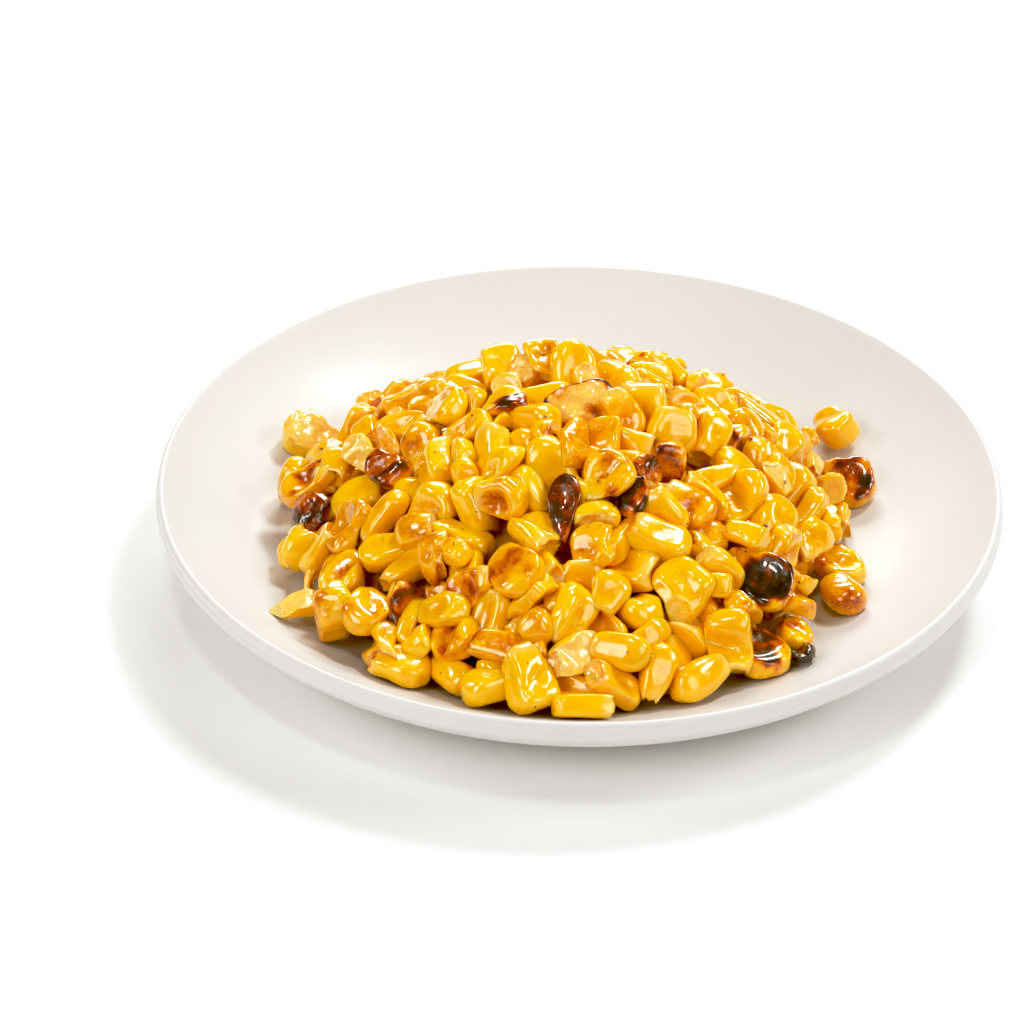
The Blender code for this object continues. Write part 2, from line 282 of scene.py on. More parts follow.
DENT_SHIFT = (0.9, 0.5)  # spread of its middle along and across, in mm
DENT_LEAN = 0.25
RING_PLACE = 1.4  # of the ring mark's middle toward the crown, in mm
RING_RADIUS, RING_WIDTH = 1.5, 0.45


def press_dents(points, s, rng):
    """Presses a valley into each broad side. The mark is how deep in the upper one a point lies, 0 to 1."""
    x, y, z = points.T
    up = z / (s["thickness"] / 2)
    moved = z.copy()
    centre = rng.normal(0, DENT_SHIFT)
    lean = rng.normal(0, DENT_LEAN)
    turn = rng.normal(0, s["dent_turn"])
    off_x = (x - centre[0]) * math.cos(turn) + (y - centre[1]) * math.sin(turn)
    off_y = (y - centre[1] - lean * x) * math.cos(turn) - (x - centre[0]) * math.sin(turn)
    bowl = np.exp(-((off_x / s["dent_length"]) ** 2) - (off_y / s["dent_breadth"]) ** 2)
    upper = smooth_step(0.1, 0.8, up)
    moved -= max(0, s["dent"]) * bowl * upper
    below = np.exp(-(((x + centre[0]) / s["dent_length"]) ** 2) - ((y - centre[1]) / s["dent_breadth"]) ** 2)
    moved += max(0, s["under_dent"]) * below * smooth_step(0.1, 0.8, -up)
    if s["ring"] > 0:
        off_ring = np.hypot((x - RING_PLACE) / 1.3, y / 0.9) - RING_RADIUS
        moved -= s["ring"] * np.exp(-((off_ring / RING_WIDTH) ** 2)) * upper
    return np.stack([x, y, moved], -1), bowl * upper


FOLD_SPACING = (1.3, 2.0)  # least and most, in mm
FOLD_WANDER, FOLD_PUCKER = 5.0, 2.4  # wavelengths along the folds and on them


def wrinkles(points, rng):
    """Sharp narrow folds that run mostly along the kernel."""
    lean = rng.normal(0, 0.5)
    across = points[:, 1] + lean * points[:, 0] + 0.5 * uneven_field(points, rng, FOLD_WANDER)
    folds = 1 - 2 * np.abs(np.sin(across * np.pi / rng.uniform(*FOLD_SPACING)))
    return folds + 0.5 * uneven_field(points, rng, FOLD_PUCKER)


CUT_UNEVENNESS, CUT_WAVES = 0.36, 4.0  # of a cut face, and their length, in mm
EDGE_PLACE, EDGE_WIDTH = 0.2, 0.7  # of the edge mark inside the cut's edge, in mm


def slice_facets(points, s, rng):
    """Knife cuts: what lies beyond each plane is laid on it. The marks are 1 on cut faces and their edges."""
    cut = np.zeros(len(points))
    edge = np.zeros(len(points))
    cuts = []
    if s["top_cut"] > 0:
        cuts.append((s["top_cut"], (rng.normal(-0.3, 0.1), rng.normal(0, 0.15), 1.0)))
    for _ in range(int(round(max(0, s["facets"])))):
        angle = rng.uniform(-np.pi, np.pi)
        cuts.append((max(0.3, s["facet_depth"]), (rng.normal(0, 0.35), 0.75 * np.cos(angle), np.sin(angle))))
    for depth, normal in cuts:
        normal = np.array(normal) / np.linalg.norm(normal)
        reach = points @ normal
        beyond = reach - (reach.max() - depth)
        uneven = CUT_UNEVENNESS * uneven_field(points, rng, CUT_WAVES)
        points = points - np.clip(beyond - uneven, 0, None)[:, None] * normal
        cut = np.maximum(cut, smooth_step(0.0, 0.3, beyond))
        edge = np.maximum(edge, np.exp(-(((beyond - EDGE_PLACE) / EDGE_WIDTH) ** 2)))
    return points, cut, edge


# ---------------------------------------------------------------- browning

# How a kernel is browned: strength, contrast of the patches, and how much it follows the dent, the crown and,
# where a fifth number is given, the edges of cuts.
BROWNING = {
    "yellow": (0.02, 0.06, 0.1, 0.0),
    "spotted": (0.12, 0.22, 0.3, 0.1),
    "amber": (0.26, 0.08, 0.1, 0.0),
    "toasted": (0.20, 0.20, 0.4, 0.1),
    "seared": (0.42, 0.26, 0.5, 0.1),
    "brown": (0.66, 0.16, 0.1, 0.0),
    "scorched": (0.42, 0.34, 1.2, 0.0),
    "tipped": (0.22, 0.08, 0.1, 0.60),
    "charred": (0.72, 0.34, 0.3, 0.1),
    "black": (0.95, 0.12, 0.0, 0.0),
    "burnt": (0.83, 0.10, 0.0, 0.0),
    "roasted": (0.48, 0.14, 0.1, 0.0),
    "pale": (-0.10, 0.06, 0.0, 0.0),
    "edged": (0.04, 0.25, 0.0, 0.2, 0.85),
}
EDGE_BROWNING = (0.0, 0.0, 0.12, 0.3)  # more browning along the edges of cuts, drawn for each kernel
PATCH, SMALL_PATCH = 5.5, 2.2  # wavelengths of the patches, in mm


def browning(points, marks, manner, rng):
    """How far each point is browned: 0 is fresh, about 0.3 amber, 0.6 brown and 1 black."""
    strength, patches, by_dent, by_crown, by_edge = (*BROWNING[manner], 0.0)[:5]
    upper = np.maximum(smooth_step(-1.5, 1.5, points[:, 2]), smooth_step(0.7, 0.9, strength))
    field = uneven_field(points, rng, PATCH) + 0.5 * uneven_field(points, rng, SMALL_PATCH)
    value = strength * (0.35 + 0.65 * upper) + patches * field * (0.4 + 0.6 * upper)
    value += by_dent * (smooth_step(0.02, 0.7, marks["dent"]) - 0.25) * 0.5
    value += by_crown * (marks["along"] - 0.5)
    value += (by_edge + rng.choice(EDGE_BROWNING)) * marks["edge"]
    return np.clip(value, 0, 1.2)


# ---------------------------------------------------------------- laying the kernels

CELL = 0.8  # of the height maps
SPAN = 84.0  # they reach this far from the plate's centre each way
CELLS = int(2 * SPAN / CELL)
MIDDLES = (np.arange(CELLS) + 0.5) * CELL - SPAN  # of the cells, along either axis
HIGH_ABOVE = 1.0  # in metres, where the rays start


def cell_of(x, y):
    return int((x + SPAN) / CELL), int((y + SPAN) / CELL)


def cells_under(points):
    """The cell under each point, or the nearest one."""
    return tuple(np.clip((points[:, axis] + SPAN) / CELL, 0, CELLS - 1).astype(int) for axis in (0, 1))


def height_map(piece):
    """Height in mm of the piece's upper side over each cell, or minus infinity where it has none."""
    mesh = piece.data
    tree = BVHTree.FromPolygons([v.co for v in mesh.vertices], [p.vertices for p in mesh.polygons])
    top = np.full((CELLS, CELLS), -np.inf)
    for i, x in enumerate(MIDDLES):
        for j, y in enumerate(MIDDLES):
            hit = tree.ray_cast(Vector((x * MM, y * MM, HIGH_ABOVE)), Vector((0, 0, -1)))[0]
            if hit:
                top[i, j] = hit.z / MM
    return top


def blur(values, cells):
    """Mean over a square of this many cells each way, twice over."""
    for _ in range(2):
        for axis in (0, 1):
            padded = np.pad(values, [(cells, cells) if a == axis else (0, 0) for a in (0, 1)], mode="edge")
            total = np.cumsum(padded, axis=axis)
            total = np.insert(total, 0, 0, axis=axis)
            width = 2 * cells + 1
            high = np.take(total, range(width, total.shape[axis]), axis=axis)
            low = np.take(total, range(total.shape[axis] - width), axis=axis)
            values = (high - low) / width
    return values


def rotation(heading, pitch, roll, slope=(0.0, 0.0)):
    """The turn of a kernel: roll about its length, pitch, heading in plan, then onto the slope."""
    turned = Matrix.Rotation(math.radians(heading), 3, "Z")
    turned = turned @ Matrix.Rotation(math.radians(-pitch), 3, "Y")
    turned = turned @ Matrix.Rotation(math.radians(roll), 3, "X")
    normal = Vector((-slope[0], -slope[1], 1)).normalized()
    lean = Vector((0, 0, 1)).rotation_difference(normal).to_matrix()
    return np.array(lean @ turned)


def envelopes(points):
    """The cells under these points from their first cell on: lowest and highest height over each."""
    cells = np.floor(points[:, :2] / CELL).astype(int)
    first = cells.min(0)
    cells = cells - first
    shape = cells.max(0) + 1
    flat = cells[:, 0] * shape[1] + cells[:, 1]
    low = np.full(shape[0] * shape[1], np.inf)
    high = np.full(shape[0] * shape[1], -np.inf)
    np.minimum.at(low, flat, points[:, 2])
    np.maximum.at(high, flat, points[:, 2])
    return first, low.reshape(shape), high.reshape(shape)


LEANING = 0.85  # share of the slope that a kernel follows
SLOPE_BLUR = 4  # cells


class Heap:
    """The heap while it grows: how high it is over each cell, and how high it should become."""

    def __init__(self, plate, ground, target, inside):
        self.plate = plate
        self.height = ground.copy()
        self.target = target
        self.inside = inside
        self.kept_free = np.zeros_like(inside)
        self.slope = np.gradient(blur(np.where(inside, target, ground), SLOPE_BLUR), CELL)

    def slope_at(self, x, y, share=LEANING):
        """How steep the wanted upper side is here, or a share of it."""
        i, j = cell_of(x, y)
        return self.slope[0][i, j] * share, self.slope[1][i, j] * share

    def try_place(self, turned, x, y, sink):
        """How the turned kernel would rest here, or None beyond the maps.

        That is its height, the mean gap under it, how far it stands over what is wanted, the shares of it
        outside the outline and over what is kept free, and the cells that it covers.
        """
        first, low, high = envelopes(turned + (x + SPAN, y + SPAN, 0))
        window = tuple(slice(first[a], first[a] + low.shape[a]) for a in (0, 1))
        under = np.isfinite(low)
        ground = self.height[window]
        if ground.shape != low.shape:
            return None
        rest = (ground - low)[under].max() - sink
        gap = (rest + low - ground)[under].mean()
        excess = np.clip((rest + high - self.target[window])[under], 0, None).mean()
        outside = 1 - self.inside[window][under].mean()
        covers = self.kept_free[window][under].mean()
        return rest, gap, excess, outside, covers, (window, under, high)

    def depth_in_plate(self, kernel):
        """How far in mm the kernel reaches into the plate, or 0."""
        points = kernel.points()
        return max(0.0, (self.plate[cells_under(points)] - points[:, 2]).max())

    def cover_with(self, kernels, keep_free=False):
        """Raises the heap to these kernels as they lie. What is kept free gets no others on it."""
        for kernel in kernels:
            first, low, high = envelopes(kernel.points() + (SPAN, SPAN, 0))
            window = tuple(slice(first[a], first[a] + low.shape[a]) for a in (0, 1))
            under = np.isfinite(low)
            self.raise_to(window, under, high)
            if keep_free:
                self.kept_free[window] = np.where(under, 1, self.kept_free[window])

    def raise_to(self, window, under, high):
        """Raises the heap over these cells to this height."""
        self.height[window] = np.where(under, np.maximum(self.height[window], high), self.height[window])


# Ways to lie: the share of the kernels, then mean and spread of the roll and of the pitch, in degrees.
POSTURES = (
    (0.46, (0, 20), (0, 14)),  # on a broad side
    (0.29, (90, 18), (0, 14)),  # on a narrow side
    (0.20, (0, 60), (55, 16)),  # crown up
    (0.05, (0, 60), (-45, 14)),  # cut end up
)


def random_turns(rng, count):
    """Turns of one random posture, each with its own heading."""
    shares = [posture[0] for posture in POSTURES]
    _, roll, pitch = POSTURES[rng.choice(len(POSTURES), p=shares)]
    flips = rng.choice((0, 180), count)
    return [(rng.uniform(0, 360), rng.normal(*pitch), rng.normal(*roll) + flip) for flip in flips]


# How creased the skin is, from 0 to 1, where a form's differs from the usual.
CREASED = {
    "crumpled": 0.9, "shrivelled": 1.0, "folded": 0.6, "hull": 0.7, "shard": 0.8, "leaf": 0.9, "cup": 0.35,
    "valley": 0.3,
}
USUALLY_CREASED = 0.12
CREAMY = ("halved", "sliced")  # forms whose cut faces are the palest


class Kernel:
    """One kernel of a form, browned in its own manner, before and after it is laid."""

    def __init__(self, form, manner, rng, grid=FINE, **given):
        self.form = form
        self.grid = grid
        self.shape, self.marks = kernel_shape(draw_sizes(form, rng, **given), grid, rng)
        self.marks["brown"] = browning(self.shape, self.marks, manner, rng)
        self.marks["tone"] = np.full(len(self.shape), rng.uniform(0.7 if form in CREAMY else 0.0, 1))
        creased = CREASED.get(form, USUALLY_CREASED) + rng.uniform(0, 0.25) ** 2 * 4
        self.marks["creased"] = np.full(len(self.shape), creased)
        self.grain = rng.uniform(-500, 500, 3)

    def lay(self, matrix, place):
        self.matrix, self.place = matrix, place

    def points(self):
        return self.shape @ self.matrix.T + self.place


BALL_MARGIN = 0.12  # the balls are this much larger than the kernel holds, in mm
SMALLEST_BALL = 0.9
BALL_ROWS, BALL_COLUMNS = 5, 4  # along the kernel and across it
BALL_REACH = 1.3  # the points this near to a ball's middle in plan give its height


def balls_of(kernel):
    """Balls that fill the kernel: their middles in its own axes, and their radii."""
    points = kernel.shape
    low, high = points.min(0), points.max(0)
    middles = []
    for x in np.linspace(low[0], high[0], BALL_ROWS + 2)[1:-1]:
        for y in np.linspace(low[1], high[1], BALL_COLUMNS + 2)[1:-1]:
            near = points[np.hypot(points[:, 0] - x, points[:, 1] - y) < BALL_REACH]
            if len(near) > 3:
                middles.append((x, y, (near[:, 2].min() + near[:, 2].max()) / 2))
    middles = np.array(middles)
    radii = np.sqrt(((middles[:, None] - points[None]) ** 2).sum(-1).min(1))
    kept = radii > min(SMALLEST_BALL, radii.max() * 0.8)
    return middles[kept], radii[kept] + BALL_MARGIN


ROUNDS, ROUNDS_PER_SEARCH = 60, 12
FOLLOWED = 0.7  # share of the push on a ball that is followed each round
NEARLY = 3.0  # balls with a gap below this, in mm, are tested until the next search
PULL_BACK = 0.05  # share of the way back to its first place that a kernel goes each round
CEILING, CEILING_PUSH = 3.0, 0.5  # in mm over the outline, and the share of what stands over it
MOST_PUSHED = 3.0  # by the plate or the ceiling in one round, in mm
STIFFNESS = 6.0  # against turning


def close_pairs(middles, radii, owner):
    """Pairs of balls of different kernels that are nearly close enough to touch."""
    squared = (middles**2).sum(-1)
    apart = squared[:, None] + squared[None] - 2 * middles @ middles.T
    limit = (radii[:, None] + radii[None] + NEARLY) ** 2
    a, b = np.nonzero(np.triu((apart < limit) & (owner[:, None] != owner[None]), 1))
    return a, b


def keep_apart(kernels, weights, heap):
    """Moves and turns overlapping kernels apart. Of two, the one with less weight gives way more.

    Each is held near its first place, over the plate and under the ceiling.
    """
    balls = [balls_of(kernel) for kernel in kernels]
    owner = np.repeat(np.arange(len(kernels)), [len(radii) for _, radii in balls])
    local = np.concatenate([middles for middles, _ in balls])
    radii = np.concatenate([radii for _, radii in balls])
    count = np.bincount(owner).astype(float)
    turn = np.array([kernel.matrix for kernel in kernels])
    place = np.array([kernel.place for kernel in kernels], float)
    wanted = place.copy()
    weights = np.asarray(weights, float)
    centre = np.stack([np.bincount(owner, local[:, axis]) / count for axis in range(3)], -1)
    offset = local - centre[owner]
    for step in range(ROUNDS):
        world = np.einsum("nij,nj->ni", turn[owner], local) + place[owner]
        if step % ROUNDS_PER_SEARCH == 0:
            a, b = close_pairs(world, radii, owner)
            share = weights[owner[b]] / (weights[owner[a]] + weights[owner[b]])
        apart = world[a] - world[b]
        distance = np.linalg.norm(apart, axis=1) + 1e-6
        overlap = np.clip(radii[a] + radii[b] - distance, 0, None)
        push = apart * (overlap / distance)[:, None]
        moved = np.zeros_like(world)
        times = np.zeros(len(world))
        np.add.at(moved, a, push * share[:, None])
        np.add.at(moved, b, -push * (1 - share)[:, None])
        np.add.at(times, a, overlap > 0)
        np.add.at(times, b, overlap > 0)
        moved /= np.maximum(times, 1)[:, None] ** 0.5
        cells = cells_under(world)
        over = world[:, 2] + radii - heap.target[cells] - CEILING
        moved[:, 2] += np.clip(heap.plate[cells] + radii - world[:, 2], 0, MOST_PUSHED)
        moved[:, 2] -= CEILING_PUSH * np.clip(over, 0, MOST_PUSHED)
        world = world + FOLLOWED * moved
        middle = np.stack([np.bincount(owner, world[:, axis]) / count for axis in range(3)], -1)
        products = offset[:, :, None] * (world - middle[owner])[:, None, :]
        together = np.zeros_like(turn)
        np.add.at(together, owner, products)
        together += STIFFNESS * turn.transpose(0, 2, 1)
        left, _, right = np.linalg.svd(together)
        sign = np.linalg.det(np.einsum("nij,njk->nik", left, right))
        right[:, 2] *= sign[:, None]
        turn = np.einsum("nji,nkj->nik", right, left)
        place = middle - np.einsum("nij,nj->ni", turn, centre)
        place += PULL_BACK * (wanted - place)
    for kernel, matrix, where in zip(kernels, turn, place):
        kernel.lay(matrix, where)
        kernel.lay(matrix, where + (0, 0, heap.depth_in_plate(kernel)))


FILL_FORMS = {
    "tooth": 0.29, "plump": 0.20, "log": 0.08, "valley": 0.11, "cup": 0.06,
    "sliced": 0.04, "folded": 0.09, "crumpled": 0.08, "hull": 0.04, "shrivelled": 0.01,
}
FILL_BROWNING = {
    "yellow": 0.75, "spotted": 0.08, "amber": 0.09, "toasted": 0.03, "seared": 0.01, "brown": 0.01,
    "pale": 0.03,
}
# Browning of the kernels below: real manners, but browned far more than those on top, as painted shade in the
# gaps between them.
BELOW_BROWNING_PAINTED_SHADE = {"yellow": 0.25, "spotted": 0.10, "amber": 0.40, "toasted": 0.17, "brown": 0.08}


def pick(shares, rng):
    names = list(shares)
    weights = np.array([shares[name] for name in names])
    return names[rng.choice(len(names), p=weights / weights.sum())]


# What makes a fit bad, against a mean gap of 1 mm under the kernel.
EXCESS_COST, OUTSIDE_COST, COVER_COST = 3, 40, 30


class Fit:
    """A kernel tried in one pose: how well it fits there. Lower badness is better."""

    def __init__(self, heap, kernel, pose, sink):
        self.kernel, self.pose = kernel, pose
        x, y, heading, pitch, roll = pose
        self.matrix = rotation(heading, pitch, roll, heap.slope_at(x, y))
        found = heap.try_place(kernel.shape @ self.matrix.T, x, y, sink)
        self.badness = math.inf
        if found:
            self.rest, gap, self.excess, self.outside, self.covers, self.cover = found
            self.badness = (
                gap + EXCESS_COST * self.excess + OUTSIDE_COST * self.outside + COVER_COST * self.covers
            )


SINK = 0.6  # how far a dropped kernel settles between those under it, in mm
TURNS, SHIFT = 10, 1.4  # random poses tried for each kernel, and how far they lie from the place, in mm
REFINEMENTS = 14
SMALL_CHANGE = (0.5, 0.5, 9, 7, 9)  # of a pose: x and y in mm, then the three turns in degrees


def best_fit(heap, kernels, x, y, rng):
    """The best pose found near here for one of these kernels: random ones, then small changes to the best."""
    best = None
    for kernel in kernels:
        for turn in random_turns(rng, TURNS):
            place = (x + rng.uniform(-SHIFT, SHIFT), y + rng.uniform(-SHIFT, SHIFT))
            fit = Fit(heap, kernel, place + turn, SINK)
            if best is None or fit.badness < best.badness:
                best = fit
    for _ in range(REFINEMENTS):
        change = rng.normal(0, SMALL_CHANGE)
        fit = Fit(heap, best.kernel, tuple(np.array(best.pose) + change), SINK)
        if fit.badness < best.badness:
            best = fit
    return best


ENOUGH = 3.0  # depth in mm that may be missing
MOST_DROPS = 500
LUCK = 0.8  # mm, so that the order isn't strict
CHIP_AFTER, CHIP_SHARE = 1.5, 0.2  # how tired a place must be, and how often it then gets a chip
MOST_EXCESS, MOST_OUTSIDE, MOST_COVERED = 1.1, 0.12, 0.06  # a worse fit is given up


def fill(heap, rng):
    """Drops kernels where the heap is furthest below what is wanted, until little is missing.

    A place where none fits well becomes tired, so that others come first, and may get a chip.
    """
    laid = []
    tired = np.zeros_like(heap.target)
    for _ in range(MOST_DROPS):
        missing = np.where(heap.inside & (heap.kept_free == 0), heap.target - heap.height, -20.0)
        missing = blur(missing, 1) - tired + rng.uniform(0, LUCK, heap.target.shape)
        i, j = np.unravel_index(missing.argmax(), missing.shape)
        if missing[i, j] < ENOUGH:
            break
        x, y = MIDDLES[i], MIDDLES[j]
        chip = tired[i, j] > CHIP_AFTER and rng.random() < CHIP_SHARE
        form = "chip" if chip else pick(FILL_FORMS, rng)
        manner = pick(FILL_BROWNING, rng)
        fit = best_fit(heap, [Kernel(form, manner, rng), Kernel(form, manner, rng)], x, y, rng)
        if fit.excess > MOST_EXCESS or fit.outside > MOST_OUTSIDE or fit.covers > MOST_COVERED:
            tired[max(0, i - 2):i + 3, max(0, j - 2):j + 3] += 1.0
            continue
        window, under, high = fit.cover
        heap.raise_to(window, under, fit.rest + high)
        fit.kernel.lay(fit.matrix, (*fit.pose[:2], fit.rest))
        laid.append(fit.kernel)
    return laid


UNDER_SPACING = 6.2  # of the kernels under the top ones, in mm
UNDER_SHIFT = 1.2  # from their even places
UNDER_DEPTH, UNDER_SPREAD = 8.0, 1.6  # of their tops under the heap's upper side
UNDER_CLEARANCE = 2.5  # they are left out where they would stand less than this above the plate


def lay_under(heap, rng):
    """Kernels that show only between the top ones: close together, their tops at one depth."""
    laid = []
    steps = int(SPAN / UNDER_SPACING) - 1
    for row in range(-steps, steps + 1):
        for column in range(-steps, steps + 1):
            x = (column + 0.5 * (row % 2)) * UNDER_SPACING + rng.uniform(-UNDER_SHIFT, UNDER_SHIFT)
            y = row * 0.87 * UNDER_SPACING + rng.uniform(-UNDER_SHIFT, UNDER_SHIFT)
            i, j = cell_of(x, y)
            top = heap.target[i, j] - UNDER_DEPTH - rng.uniform(0, UNDER_SPREAD)
            if not heap.inside[i, j] or top < heap.plate[i, j] + UNDER_CLEARANCE:
                continue
            # Browned more than the top ones: painted shade between them.
            kernel = Kernel(pick(FILL_FORMS, rng), pick(BELOW_BROWNING_PAINTED_SHADE, rng), rng, COARSE)
            heading, pitch, roll = random_turns(rng, 1)[0]
            matrix = rotation(heading, pitch, roll, heap.slope_at(x, y))
            turned = kernel.shape @ matrix.T
            kernel.lay(matrix, (x, y, top - turned[:, 2].max()))
            lift = heap.depth_in_plate(kernel)
            if lift > UNDER_CLEARANCE:
                continue
            kernel.lay(matrix, kernel.place + np.array([0, 0, lift]))
            heap.cover_with([kernel])
            laid.append(kernel)
    return laid


CRUMBS = 160  # tried
CRUMB_CIRCLE = (-2, -6, 56)  # its middle and radius in plan, in mm
STEEPEST_FOR_CRUMBS = 1.6  # mm of height between neighbouring cells


def scatter_crumbs(heap, rng):
    """Crumbs of burnt skin that stick to the kernels, each resting on what is below it."""
    laid = []
    for _ in range(CRUMBS):
        length = rng.uniform(0.6, 1.5)
        crumb = Kernel("chip", rng.choice(("black", "charred", "brown")), rng, COARSE, length=length,
                       breadth=length * rng.uniform(0.4, 0.8), thickness=length * rng.uniform(0.2, 0.4),
                       uneven=0.14 * length, pressed=0.1, facets=0, dent=0, under_dent=0, torn=0.12, hollow=0)
        middle_x, middle_y, reach = CRUMB_CIRCLE
        radius, angle = reach * math.sqrt(rng.uniform()), rng.uniform(0, 2 * math.pi)
        x, y = middle_x + radius * math.cos(angle), middle_y + radius * math.sin(angle)
        i, j = cell_of(x, y)
        around = heap.height[i - 1:i + 2, j - 1:j + 2]
        if not heap.inside[i, j] or np.ptp(around) > STEEPEST_FOR_CRUMBS:
            continue
        slope = (np.clip(np.diff(heap.height[i:i + 2, j])[0] / CELL, -1, 1),
                 np.clip(np.diff(heap.height[i, j:j + 2])[0] / CELL, -1, 1))
        crumb.lay(rotation(rng.uniform(0, 360), 0, 0, slope), (x, y, heap.height[i, j] + 0.1 * length))
        laid.append(crumb)
    return laid


# ---------------------------------------------------------------- kernels that stand out

